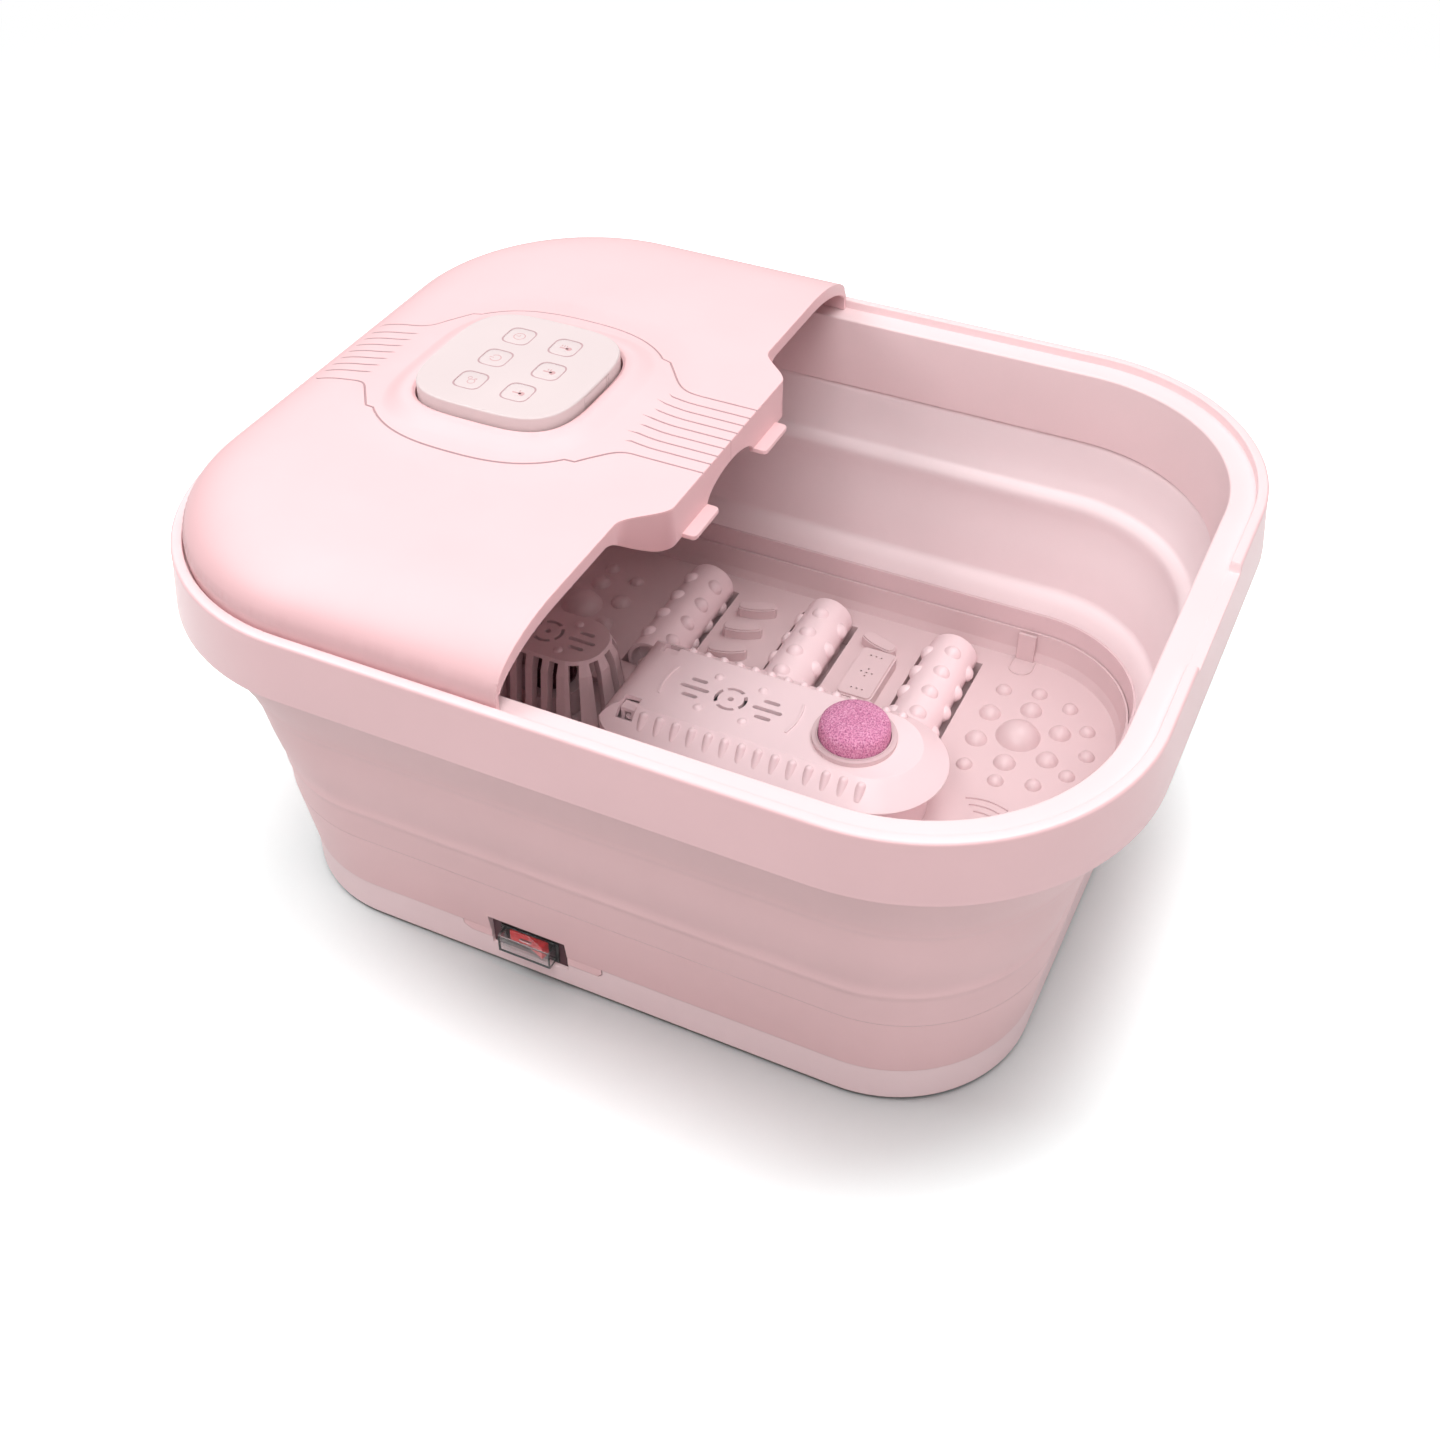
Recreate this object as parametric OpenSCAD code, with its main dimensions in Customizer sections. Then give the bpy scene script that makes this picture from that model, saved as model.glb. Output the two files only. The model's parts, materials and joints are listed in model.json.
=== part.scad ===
// Folding foot spa basin: a hard tub, a folding rubber wall, a rim, a massage floor,
// and a half lid that carries a lift-out control pad.
// Millimetres. +Z is up, X runs along the basin, and -Y is the side with the mains switch.

/* [Rim] */
// Length over the lip of the rim
rim_length = 440; // [432:1:456]
// Width over the lip of the rim
rim_width = 360; // [352:1:376]
// Corner radius over the lip of the rim
rim_corner_r = 102; // [100:0.5:104]
// Height of the lip above the surface that the basin stands on
rim_top_z = 196.5; // [190:0.5:206]
// Width of the lip's flat top
lip_w = 5; // [4:0.5:6]
// Step from the lip down to the ledge that the lid rests on
lip_step = 4.2; // [3:0.2:5]
// Width of the ledge that the lid rests on
ledge_w = 11.5; // [10:0.5:13]
// Height of the inner collar below the ledge
collar_depth = 37.3; // [30:0.5:42]
// Height of the outer skirt below the lip
skirt_depth = 29.7; // [24:0.5:36]
// How far the outer skirt flares at its foot
skirt_flare = 3; // [2:0.5:4]
// Length of each finger gap in the lip, at the two short ends
finger_gap_l = 72; // [50:2:90]

/* [Tub and folding wall] */
// How far the tub's top edge lies inside the lip
tub_inset = 30; // [28:0.5:32]
// How far the tub's wall leans in towards its foot
tub_taper = 5.5; // [4:0.5:7]
// Height of the line where the hard tub meets the folding wall
tub_top_z = 58; // [56:0.5:62]
// Height of the fold in the middle of the folding wall
low_fold_z = 80; // [76:0.5:86]
// Height of the fold below the rim
high_fold_z = 126; // [120:0.5:132]
// Wall of the hard mouldings
wall = 2.5; // [2:0.1:3]
// Top of the bottom cover's band
band_top_z = 21; // [20:0.5:24]
// How far the rubber feet stand out under the bottom cover
foot_h = 0.8; // [0.6:0.1:1.2]
// Height of the tub's floor, under the massage floor
tub_floor_z = 15; // [14:0.2:16]

/* [Massage floor] */
// Height of the massage floor
board_z = 30; // [29:0.2:32]
// Spacing of the rollers along the basin
roller_pitch = 72; // [66:1:76]
// Diameter of a roller's tube
roller_d = 26.2; // [23:0.2:27]
// Gap between a roller's outer end and the edge of the massage floor
roller_edge = 17.2; // [16:0.2:24]
// Height that a roller's nubs stand above its tube
roller_nub_h = 2.6; // [2:0.1:3]
// Length of the flat top of the central ridge, from its left end to the centre of its round end
ridge_l = 121.5; // [116:0.5:128]
// Height of the ridge above the massage floor
ridge_h = 37.5; // [35:0.5:40]
// Half width of the ridge's flat top
ridge_top_half = 24; // [22:0.5:25]
// Radius of the pumice stone
stone_r = 17.4; // [15:0.1:18]
// Height of the intake cage above the massage floor
cage_h = 45; // [40:0.5:50]

/* [Lid and control pad] */
// Height of the lid's flat top
lid_top_z = 218; // [215:0.5:222]
// Where the lid's straight middle edge lies along X
lid_edge_x = -16.5; // [-24:0.5:-12]
// Length of the tongue that stands out of the middle edge
tongue_l = 16.5; // [12:0.5:20]
// Half length of the pad, along X
pad_half_x = 40; // [38:0.5:42]
// Half width of the pad, along Y
pad_half_y = 41; // [39:0.5:43]
// Height of the pad
pad_h = 15; // [14.6:0.1:16]
// Width of a key across the pad
key_w = 13; // [11:0.5:14]
// Travel of a key
key_travel = 0.4; // [0.3:0.05:0.5]

/* [Switch] */
// Width of the opening round the mains switch
switch_hole_w = 40; // [36:0.5:44]
// Height of the opening round the mains switch
switch_hole_h = 19.5; // [18:0.5:21]
// Where the switch lies along X
switch_x = -34; // [-40:0.5:-28]

/* [Hidden] */
$fn = 72;

eps = 0.01;             // overlap that makes a cut run cleanly through a face
seat = 0.3;             // gap between pieces that lift off one another
fit = 0.4;              // gap round a piece that drops into another
running = 0.1;          // radial gap round a turning shaft

shell_pink = "#F6D3D6";
trim_pink = "#FBE3E3";
rubber_pink = "#DDB4B9";

corner_x = rim_length / 2 - rim_corner_r;
corner_y = rim_width / 2 - rim_corner_r;

// Distances outside the corner centres, which are also corner radii
ledge_off = rim_corner_r - lip_w;
collar_off = ledge_off - ledge_w;
collar_low_off = collar_off - 2;
tub_off = rim_corner_r - tub_inset;
band_off = tub_off - tub_taper;
cover_off = band_off - 0.5;
liner_top_off = tub_off - 10;
liner_low_off = liner_top_off - 2;
liner_wall = 2.2;
ledge_z = rim_top_z - lip_step;
rim_floor_z = ledge_z - wall - 0.3;
skirt_foot_z = rim_top_z - skirt_depth;
collar_foot_z = ledge_z - collar_depth;
cover_wall = 3;
cover_floor_z = foot_h + wall;
bellows_neck_off = ledge_off - 2;
bellows_t = 3;
clamp_h = 9;
bellows_top_z = rim_floor_z - seat;
low_fold_off = tub_off + 3.5;
high_fold_off = tub_off + 11;

// The dry hump in the tub's floor, and the massage parts that stand over it
ridge_cx = 75.5;
ridge_left = ridge_cx - ridge_l - 13;
ridge_top_z = board_z + ridge_h;
shoulder_z = ridge_top_z - 10.3;
shoulder_half = ridge_top_half + 13;
ridge_wall_half = ridge_top_half + 4;
hump_half = ridge_wall_half - wall - 1.5;
hump_top_z = ridge_top_z - 13.5;
hump_left = ridge_left + wall + 3;
cage_x = -102.6;
cage_top_z = board_z + cage_h;
cage_half_x = 35;
cage_half_y = 19.5;
cage_flare = 6;
cage_wall = 5;
pump_hump_r = 17;
pump_hump_top_z = cage_top_z - 31;
shaft_r = 1.5;

board_t = 3;
board_off = tub_off - 11.8;
board_low_z = board_z - board_t;
board_wall_h = 17;
roller_z = board_z + 2;
roller_r = roller_d / 2;
roller_near_y = ridge_wall_half + 16;
roller_far_y = corner_y + board_off - roller_edge;
roller_l = roller_far_y - roller_near_y;
roller_mid_x = 3.4;
well_half = roller_r + roller_nub_h + 0.7;
well_near_y = roller_near_y - 2;
well_far_y = roller_far_y + 1;
well_wall = 1.6;
ear_t = 2.5;
ear_r = 5.5;
axle_r = 2;
nub_r = 4.8;
nub_rows = 4;
nub_columns = 5;
nub_pitch = 0.2247 * roller_l;
nub_phases = [23, 52, 70];
bar_h = 6.3;
bar_w = 9;
bar_l = 21.5;
bar_bow_r = 30;
bar_step = 0.8;
bar_mid_x = 1;
arc_x = ridge_cx + 53;
floor_arcs = [[27, 10.8], [22.4, 7.8], [18, 4.2]];
tab_x = corner_x - 7;
tab_w = 9.6;
tab_h = 17;
loop_r = 6.5;
loop_w = 0.9;
function roller_x(i) = roller_mid_x + i * roller_pitch;
bar_ys = [for (part = [0.844, 0.591, 0.331]) roller_near_y + part * roller_l];
bar_x = roller_pitch / 2;
herb_x = roller_pitch / 2 + 5;
herb_y = roller_near_y + 0.474 * roller_l;
herb_w = 20;
herb_l = 0.532 * roller_l;
herb_h = 7.5;
stone_x = 65.6;
stone_top_z = ridge_top_z + 13.7;
collar_r = stone_r + 3.3;
cup_t = 1.2;
cup_floor_z = ridge_top_z - 8;

lid_off = ledge_off - 1;
lid_foot_z = ledge_z + seat;
lid_shoulder_z = lid_top_z - 18;
lid_curve_w = 46;
tongue_half = 62;
root_half = 85;
tongue_skirt_z = lid_top_z - 20;
arch_z = tongue_skirt_z + 9.5;
tab_in_y = 24;
tab_out_y = 49;
skirt_t = 1.8;
pad_x = -106;
crown_rise = 6;
crown_r = 71;
line_x = pad_x + 63;
line_pitch = 6.7;
line_w = 0.8;
crown_sphere_r = (crown_r * crown_r + crown_rise * crown_rise) / (2 * crown_rise);
function crown_top(r) = lid_top_z + crown_rise - crown_sphere_r + sqrt(pow(crown_sphere_r, 2) - r * r);
pad_top_z = lid_top_z + 12;
pad_low_z = pad_top_z - pad_h;
pad_split_z = pad_top_z - 8.6;
pad_wall = 1.8;
pad_power = 3.6;
cradle_t = 2.2;
key_h = 13.5;
key_columns = [[pad_x - 12.3, 21.3], [pad_x - 12.3, 0], [pad_x - 12.3, -21.3],
  [pad_x + 12, 21.3], [pad_x + 15.5, 0], [pad_x + 12, -21.3]];
key_corner_r = 4;
tray_half = 9.3;
tray_l = 20.5;
tray_low_z = pad_top_z - 7.8;
tray_h = 4.6;
cell_r = 8;
cell_h = 3.2;

switch_z = 19.5;
front_y = -(corner_y + cover_off);
hole_z = 11.5;
boot_half = 13.5;
boot_low_z = 14.5;
boot_h = 10;
boot_out = 5.3;
boot_wall = 1;
panel_left = switch_x - 35;
panel_right = switch_x + 37.5;
panel_z = band_top_z - 5.5;
pocket_y = -(well_far_y + ear_t + wall);
switch_face_y = front_y + 1.4;
rocker_y = front_y + 6.5;
rocker_tilt = 10;
gland_x = -60;
gland_z = 13;
gland_r = 5;
cord_r = 3.5;

// ---------- shared shapes ----------

// Sweeps a profile of (distance outside the corner centres, height) round the basin's outline.
module ring_sweep() {
  for (side = [0, 180]) rotate([0, 0, side]) {
    translate([corner_x, corner_y, 0]) rotate_extrude(angle = 90) children();
    translate([-corner_x, corner_y, 0]) rotate([0, 0, 90]) rotate_extrude(angle = 90) children();
    translate([corner_x, corner_y, 0]) rotate([90, 0, 0]) linear_extrude(2 * corner_y) children();
    translate([-corner_x, corner_y, 0]) rotate([90, 0, 90]) linear_extrude(2 * corner_x) children();
  }
}

// The basin's outline at a distance outside the corner centres.
module outline(off) {
  square([2 * corner_x, 2 * (corner_y + off)], center = true);
  square([2 * (corner_x + off), 2 * corner_y], center = true);
  for (sx = [-1, 1], sy = [-1, 1]) translate([sx * corner_x, sy * corner_y]) circle(off);
}

// A rectangle with round corners, centred.
module round_rect(w, l, r) {
  square([w - 2 * r, l], center = true);
  square([w, l - 2 * r], center = true);
  for (sx = [-1, 1], sy = [-1, 1]) translate([sx * (w / 2 - r), sy * (l / 2 - r)]) circle(r);
}

// A slot with round ends along X, centred.
module slot(l, w) {
  square([l - w, w], center = true);
  for (s = [-1, 1]) translate([s * (l - w) / 2, 0]) circle(w / 2);
}

// The outline of the round-ended ridge, at a half width, from x = left to its round end.
module ridge_plan(half, left) {
  translate([left, -half]) square([ridge_cx - left, 2 * half]);
  translate([ridge_cx, 0]) circle(half);
}

// Sweeps a profile of (half width, height) round the ridge: two straight sides and a round end.
module ridge_sweep(left) {
  translate([ridge_cx, 0, 0]) rotate([0, 0, -90]) rotate_extrude(angle = 180) children();
  for (side = [0, 1]) mirror([0, side, 0]) {
    translate([left, 0, 0]) rotate([90, 0, 90]) linear_extrude(ridge_cx - left) children();
  }
}

// The pad's outline: a square whose sides and corners bulge as one curve.
function bulge(c, power) = (c < 0 ? -1 : 1) * pow(abs(c), 2 / power);
module squircle(half_x, half_y, power) {
  polygon([for (a = [0:6:354]) [half_x * bulge(cos(a), power), half_y * bulge(sin(a), power)]]);
}

// A cap of a sphere that stands h high on the plane z = 0, with a rim of radius r.
module dome(r, h) {
  ball = (r * r + h * h) / (2 * h);
  intersection() {
    translate([0, 0, h - ball]) sphere(ball);
    cylinder(r = r + 1, h = h + 1);
  }
}

// The vents of the ridge and of the cage: a ring of four arcs, a centre hole, and slots each side.
module vent_plan(mid_in, mid_out) {
  difference() {
    circle(8.4);
    circle(6.6);
    for (a = [45, 135]) rotate(a) square([20, 2.6], center = true);
  }
  circle(1.5);
  for (s = [-1, 1]) translate([s * (mid_in + mid_out) / 2, 0]) {
    slot(mid_out - mid_in, 2.4);
    for (t = [-1, 1]) translate([0, t * 6]) slot((mid_out - mid_in) * 0.55, 2.4);
  }
}

// The raised dots beside those vents.
module vent_dots(dx, dy) {
  for (sx = [-1, 1], sy = [-1, 1]) translate([sx * dx, sy * dy, -0.6]) dome(2.6, 2.2);
}

// ---------- base ----------

screw_spots = [for (sx = [-1, 1], sy = [-1, 1]) [sx * (corner_x + 10), sy * (corner_y + 38)],
  for (sx = [-1, 1], sy = [-1, 1]) [sx * 40, sy * (corner_y - 20)]];
foot_spots = [for (sx = [-1, 1], sy = [-1, 1]) [sx * (corner_x + 32), sy * (corner_y + 30)]];
boss_r = 4;
screw_r = 1.6;
screw_head_r = 3.2;
foot_r = 9;
foot_sunk = 1;

// The tongue of tub wall that drops over the band round the switch.
module panel_shape(grow) {
  low = panel_z - grow;
  polygon([[panel_left - grow, band_top_z + 1], [panel_left - grow, low + 2.5],
    [panel_left - grow + 4, low], [panel_right + grow - 2, low], [panel_right + grow, low + 2],
    [panel_right + grow, band_top_z + 1]]);
}

module front_cut(depth) {
  translate([0, front_y + depth, 0]) rotate([90, 0, 0]) linear_extrude(2 * depth) children();
}

module switch_hole() {
  front_cut(cover_wall + 3) translate([switch_x - switch_hole_w / 2, hole_z])
    square([switch_hole_w, switch_hole_h]);
}

module bottom_cover() {
  color(trim_pink) difference() {
    union() {
      translate([0, 0, foot_h]) linear_extrude(wall) outline(cover_off - cover_wall + eps);
      ring_sweep() polygon([[cover_off - cover_wall, foot_h], [cover_off - 1.5, foot_h],
        [cover_off - 0.5, foot_h + 0.3], [cover_off, foot_h + 1.2], [cover_off, band_top_z - 0.4],
        [cover_off - cover_wall, band_top_z - 0.4]]);
      for (p = board_posts) translate([p[0], p[1], cover_floor_z - eps]) cylinder(r = 3, h = 2);
      for (p = motor_posts) translate([p[0] - 2, p[1], cover_floor_z - eps])
        translate([0, -8, 0]) cube([4, 16, motor_z - motor_r - cover_floor_z + 2]);
    }
    front_cut(cover_wall + 1) panel_shape(fit);
    switch_hole();
    for (p = screw_spots) translate([p[0], p[1], foot_h - eps]) {
      cylinder(r = screw_r + 0.2, h = wall + 1);
      cylinder(r = screw_head_r + 0.3, h = 1.4);
    }
    for (p = foot_spots) translate([p[0], p[1], foot_h - eps]) cylinder(r = foot_r + fit / 2, h = foot_sunk + eps);
    translate([gland_x, 0, gland_z]) rotate([-90, 0, 0]) cylinder(r = gland_r, h = corner_y + tub_off);
    translate([motor_cx, 0, motor_z]) rotate([0, 90, 0]) cylinder(r = motor_r + 0.05, h = 60, center = true);
  }
}

module rubber_feet() {
  color("#8E6F74") for (p = foot_spots) translate([p[0], p[1], 0]) {
    cylinder(r1 = foot_r - 0.4, r2 = foot_r, h = 0.4);
    translate([0, 0, 0.4]) cylinder(r = foot_r, h = foot_h + foot_sunk - 0.4);
  }
}

module base_screws() {
  color("silver") for (p = screw_spots) translate([p[0], p[1], foot_h + 0.1]) difference() {
    union() {
      cylinder(r = screw_head_r, h = 1.25);
      cylinder(r = screw_r, h = 9.5);
    }
    for (a = [0, 90]) rotate([0, 0, a]) translate([-1.8, -0.4, -eps]) cube([3.6, 0.8, 0.8]);
  }
}

// ---------- tub ----------

post_spots = [for (sx = [-1, 1], sy = [-1, 1]) [sx * (corner_x + 38), sy * (corner_y - 34)],
  for (sx = [-1, 1], sy = [-1, 1]) [sx * roller_pitch / 2, sy * (corner_y - 42)],
  for (sx = [-1, 1], sy = [-1, 1]) [sx * (corner_x + 4), sy * (corner_y + 48)]];

module lower_tub() {
  foot_off = liner_low_off + liner_wall;
  color(shell_pink) difference() {
    union() {
      ring_sweep() polygon([[band_off - wall - 0.3, band_top_z], [band_off, band_top_z],
        [tub_off, tub_top_z], [liner_top_off, tub_top_z], [liner_low_off, tub_floor_z - wall],
        [foot_off, tub_floor_z - wall], [liner_top_off + liner_wall + 0.2, tub_top_z - wall],
        [tub_off - wall - 0.4, tub_top_z - wall]]);
      translate([0, 0, tub_floor_z - wall]) linear_extrude(wall) outline(liner_low_off + 1);
      translate([0, 0, tub_floor_z - wall]) linear_extrude(hump_top_z - tub_floor_z + wall)
        ridge_plan(hump_half, hump_left);
      translate([cage_x, 0, tub_floor_z - wall])
        cylinder(r = pump_hump_r, h = pump_hump_top_z - tub_floor_z + wall);
      for (p = post_spots) translate([p[0], p[1], tub_floor_z - 1])
        cylinder(r = boss_r, h = board_low_z - tub_floor_z + 1);
      for (p = screw_spots) translate([p[0], p[1], cover_floor_z])
        cylinder(r = boss_r, h = tub_floor_z - wall - cover_floor_z + 1);
      // dry pocket round the switch
      translate([switch_x - 23, -(corner_y + liner_low_off + 1), tub_floor_z - wall])
        cube([46, pocket_y + corner_y + liner_low_off + 2.2, board_low_z - seat - tub_floor_z + wall]);
      // panel over the band
      translate([0, front_y + cover_wall, 0]) rotate([90, 0, 0]) linear_extrude(cover_wall + 0.25)
        panel_shape(0);
    }
    translate([0, 0, cover_floor_z]) linear_extrude(hump_top_z - wall - cover_floor_z)
      ridge_plan(hump_half - wall, hump_left + wall);
    translate([cage_x, 0, cover_floor_z])
      cylinder(r = pump_hump_r - wall, h = pump_hump_top_z - wall - cover_floor_z);
    translate([cage_x, 0, pump_hump_top_z - wall - 1]) cylinder(r = shaft_r + 0.5, h = wall + 2);
    translate([switch_x - 21.5, front_y + cover_wall + 0.5, cover_floor_z])
      cube([43, pocket_y - front_y - cover_wall - 0.5, board_low_z - seat - 1.3 - cover_floor_z]);
    for (p = screw_spots) translate([p[0], p[1], cover_floor_z - eps]) cylinder(r = screw_r, h = 7.5);
    switch_hole();
  }
}

// ---------- folding wall ----------

module bellows() {
  color(rubber_pink) ring_sweep() polygon([
    [liner_top_off + 0.3, tub_top_z], [tub_off, tub_top_z],
    [low_fold_off, low_fold_z], [low_fold_off + 3.6, low_fold_z + 14], [low_fold_off + 6.2, low_fold_z + 29],
    [high_fold_off, high_fold_z], [bellows_neck_off + bellows_t, skirt_foot_z - 7],
    [bellows_neck_off + bellows_t, bellows_top_z], [bellows_neck_off, bellows_top_z],
    [bellows_neck_off, skirt_foot_z - 6], [high_fold_off - 2.5, high_fold_z - 2],
    [low_fold_off - 0.5, high_fold_z - 8], [low_fold_off + 1, high_fold_z - 18],
    [tub_off, tub_top_z + 10.5], [tub_off - 2, tub_top_z + 9]]);
}

// ---------- rim ----------

module top_rim() {
  color(trim_pink) difference() {
    ring_sweep() polygon([[rim_corner_r - 1.2, rim_top_z], [ledge_off, rim_top_z], [ledge_off, ledge_z],
      [collar_off, ledge_z], [collar_low_off, collar_foot_z], [collar_low_off + wall, collar_foot_z],
      [collar_off + wall, rim_floor_z], [rim_corner_r - wall, rim_floor_z],
      [rim_corner_r + skirt_flare - wall, skirt_foot_z], [rim_corner_r + skirt_flare, skirt_foot_z],
      [rim_corner_r, rim_top_z - 4], [rim_corner_r - 0.3, rim_top_z - 0.8]]);
    for (s = [-1, 1]) translate([s * (corner_x + ledge_off + 10), 0, ledge_z + 10])
      cube([20 + 2 * eps, finger_gap_l, 20], center = true);
  }
}

// The clamp ring that holds the folding wall against the rim's skirt.
module bellows_clamp() {
  low_z = rim_floor_z - clamp_h;
  inner_off = collar_off + wall + fit;
  color("#C9A2A8") ring_sweep() polygon([[inner_off, rim_floor_z], [bellows_neck_off - seat, rim_floor_z],
    [bellows_neck_off - seat, low_z], [inner_off, low_z]]);
}

// ---------- massage floor ----------

// A raised bar between the rollers: round ends, one straight side and one bowed side, stepped at the top.
module half_moon(turn) {
  for (inset = [0, bar_step]) translate([0, 0, -eps]) rotate([0, 0, turn])
    linear_extrude(bar_h - bar_step + inset) intersection() {
      slot(bar_l - 2 * inset, bar_w - 2 * inset);
      translate([0, bar_bow_r - bar_w / 2]) circle(bar_bow_r - inset);
    }
}

// The outline of all that is cut out of the board for the rollers, the ridge, the cage and the herb box.
module board_cuts() {
  for (i = [-1:1], s = [-1, 1]) translate([roller_x(i), s * (well_near_y + well_far_y) / 2])
    square([2 * well_half, well_far_y - well_near_y], center = true);
  translate([herb_x, herb_y]) square([herb_w - 2, herb_l - 2], center = true);
  ridge_plan(hump_half + 1, hump_left - 1);
  translate([cage_x, 0]) circle(pump_hump_r + 1);
}

module well_walls() {
  for (i = [-1:1], s = [0, 1]) mirror([0, s, 0]) translate([roller_x(i), 0, 0]) {
    for (side = [-1, 1]) translate([side * (well_half + well_wall / 2), 0, 0])
      translate([-well_wall / 2, well_near_y - ear_t, tub_floor_z + seat])
        cube([well_wall, well_far_y - well_near_y + 2 * ear_t, board_low_z - tub_floor_z]);
    for (y = [well_near_y - ear_t, well_far_y]) translate([0, y, 0]) {
      translate([-well_half - well_wall, 0, tub_floor_z + seat])
        cube([2 * (well_half + well_wall), ear_t, board_low_z - tub_floor_z]);
      translate([-ear_r, 0, board_low_z]) cube([2 * ear_r, ear_t, roller_z - board_low_z]);
      translate([0, 0, roller_z]) rotate([-90, 0, 0]) cylinder(r = ear_r, h = ear_t);
    }
  }
}

// One cluster of domes: a large one, six round it and nine small ones on the outer side.
module dome_cluster() {
  dome(11.5, 8);
  for (a = [30:60:330]) rotate([0, 0, a]) translate([21.7, 0, 0]) dome(5.7, 4.2);
  for (a = [-120:30:120]) rotate([0, 0, a]) translate([36, 0, 0]) dome(4.2, 3.2);
}

// One of the raised lines beside the ridge's round end: an arc of radius r and a half length.
module floor_arc(r, half) {
  intersection() {
    difference() {
      circle(r + 0.6);
      circle(r - 0.6);
    }
    translate([-half, 0]) square([2 * half, r + 1]);
  }
}

// The upright spring tab beside the wall, and the loop moulded on the floor before it.
module tab_with_loop() {
  translate([-tab_w / 2, 1, board_z - eps]) cube([tab_w, 1.6, tab_h]);
  translate([-tab_w / 2, 1, board_z - eps]) cube([tab_w, 3.4, 1.2]);
  translate([0, -5.4, board_z - eps]) linear_extrude(0.6) for (s = [-1, 1]) {
    translate([s * loop_r - (s + 1) / 2 * loop_w, 0]) square([loop_w, 8]);
    mirror([(1 - s) / 2, 0, 0]) intersection() {
      difference() {
        circle(loop_r);
        circle(loop_r - loop_w);
      }
      translate([0, -loop_r]) square([loop_r, loop_r + eps]);
    }
  }
}

module massage_board() {
  color(shell_pink) difference() {
    union() {
      difference() {
        translate([0, 0, board_low_z]) linear_extrude(board_t) outline(board_off - 2);
        translate([0, 0, board_low_z - 1]) linear_extrude(board_t + 2) board_cuts();
      }
      ring_sweep() polygon([[board_off - 3, board_low_z], [board_off - 0.2, board_low_z],
        [board_off + 0.9, board_z + board_wall_h], [board_off - 0.3, board_z + board_wall_h],
        [board_off - 1.2, board_z + 5], [board_off - 3, board_z]]);
      well_walls();
      for (s = [0, 1]) mirror([0, s, 0]) {
        for (y = bar_ys) translate([bar_mid_x - bar_x, y, board_z]) half_moon(20);
        for (y = (s == 0) ? [bar_ys[0]] : bar_ys) translate([bar_mid_x + bar_x, y, board_z]) half_moon(-20);
        for (t = [0, 1]) mirror([t, 0, 0]) translate([corner_x + 9, corner_y - 3, board_z - eps])
          dome_cluster();
      }
      for (s = [0, 1]) mirror([0, s, 0]) translate([arc_x, -3, board_z - eps]) for (arc = floor_arcs)
        linear_extrude(0.9) floor_arc(arc[0], arc[1]);
      for (s = [0, 1]) mirror([0, s, 0]) translate([tab_x, board_off + corner_y - 5, 0]) tab_with_loop();
    }
    for (i = [-1:1]) translate([roller_x(i), 0, roller_z]) rotate([90, 0, 0])
      cylinder(r = axle_r + 0.05, h = 2 * (well_far_y + ear_t + 1), center = true);
  }
}

module roller_axles() {
  color("silver") for (i = [-1:1], s = [0, 1]) mirror([0, s, 0])
    translate([roller_x(i), well_near_y - ear_t + 0.3, roller_z]) rotate([-90, 0, 0])
      cylinder(r = axle_r, h = well_far_y - well_near_y + 2 * ear_t - 0.6);
}

// A roller on the far side: a hollow tube with rings of nubs, carried by two webs on its axle.
module roller(phase) {
  web = 3;
  open_depth = 9;
  bore = axle_r + running;
  translate([0, roller_near_y, roller_z]) rotate([-90, 0, 0]) difference() {
    union() {
      cylinder(r = roller_r, h = roller_l);
      for (row = [0:nub_rows - 1], column = [0:nub_columns - 1])
        rotate([0, 0, phase + column * 360 / nub_columns])
          translate([roller_r + roller_nub_h - nub_r, 0, roller_l / 2 - 1 + (row - (nub_rows - 1) / 2) * nub_pitch])
            sphere(nub_r);
    }
    translate([0, 0, -1]) cylinder(r = roller_r - 2, h = open_depth + 1);
    translate([0, 0, open_depth + web]) cylinder(r = roller_r - 2, h = roller_l - open_depth - 2 * web);
    translate([0, 0, -1]) cylinder(r = bore, h = roller_l + 2);
  }
}

module far_roller(i) {
  color(trim_pink) translate([roller_x(i), 0, 0]) roller(nub_phases[i + 1]);
}

module near_roller(i) {
  color(trim_pink) mirror([0, 1, 0]) translate([roller_x(i), 0, 0]) roller(nub_phases[i + 1]);
}

// ---------- ridge, stone, cage, herb box ----------

module ridge_solid(inset) {
  left = ridge_left + inset;
  ridge_sweep(left) polygon(concat([[0, board_z], [ridge_wall_half - inset, board_z]],
    inset > 0 ? [[ridge_wall_half - inset, shoulder_z + 0.5], [shoulder_half - 6.5, shoulder_z + 1.5]] :
      [[ridge_wall_half, shoulder_z - 2], [shoulder_half, shoulder_z - 0.6], [shoulder_half, shoulder_z]],
    [[ridge_top_half - inset * 0.7, ridge_top_z - inset], [0, ridge_top_z - inset]]));
}

// The left end of the ridge rounds down: what lies outside a quarter circle is cut off.
module ridge_end_cut() {
  r = 14;
  translate([ridge_left - 1, 60, ridge_top_z - r]) rotate([90, 0, 0]) linear_extrude(120)
    difference() {
      square([r + 1, r + 1]);
      translate([r + 1, 0]) circle(r);
    }
}

// The left end's two corners are round in plan as well.
module ridge_corner_cut(inset) {
  for (s = [0, 1]) mirror([0, s, 0])
    translate([ridge_left + ridge_corner_r, shoulder_half - ridge_corner_r, board_z - 1])
      linear_extrude(ridge_h + 2) difference() {
        translate([-ridge_corner_r - 1, 0]) square(ridge_corner_r + 1);
        circle(ridge_corner_r - inset);
      }
}

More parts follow.
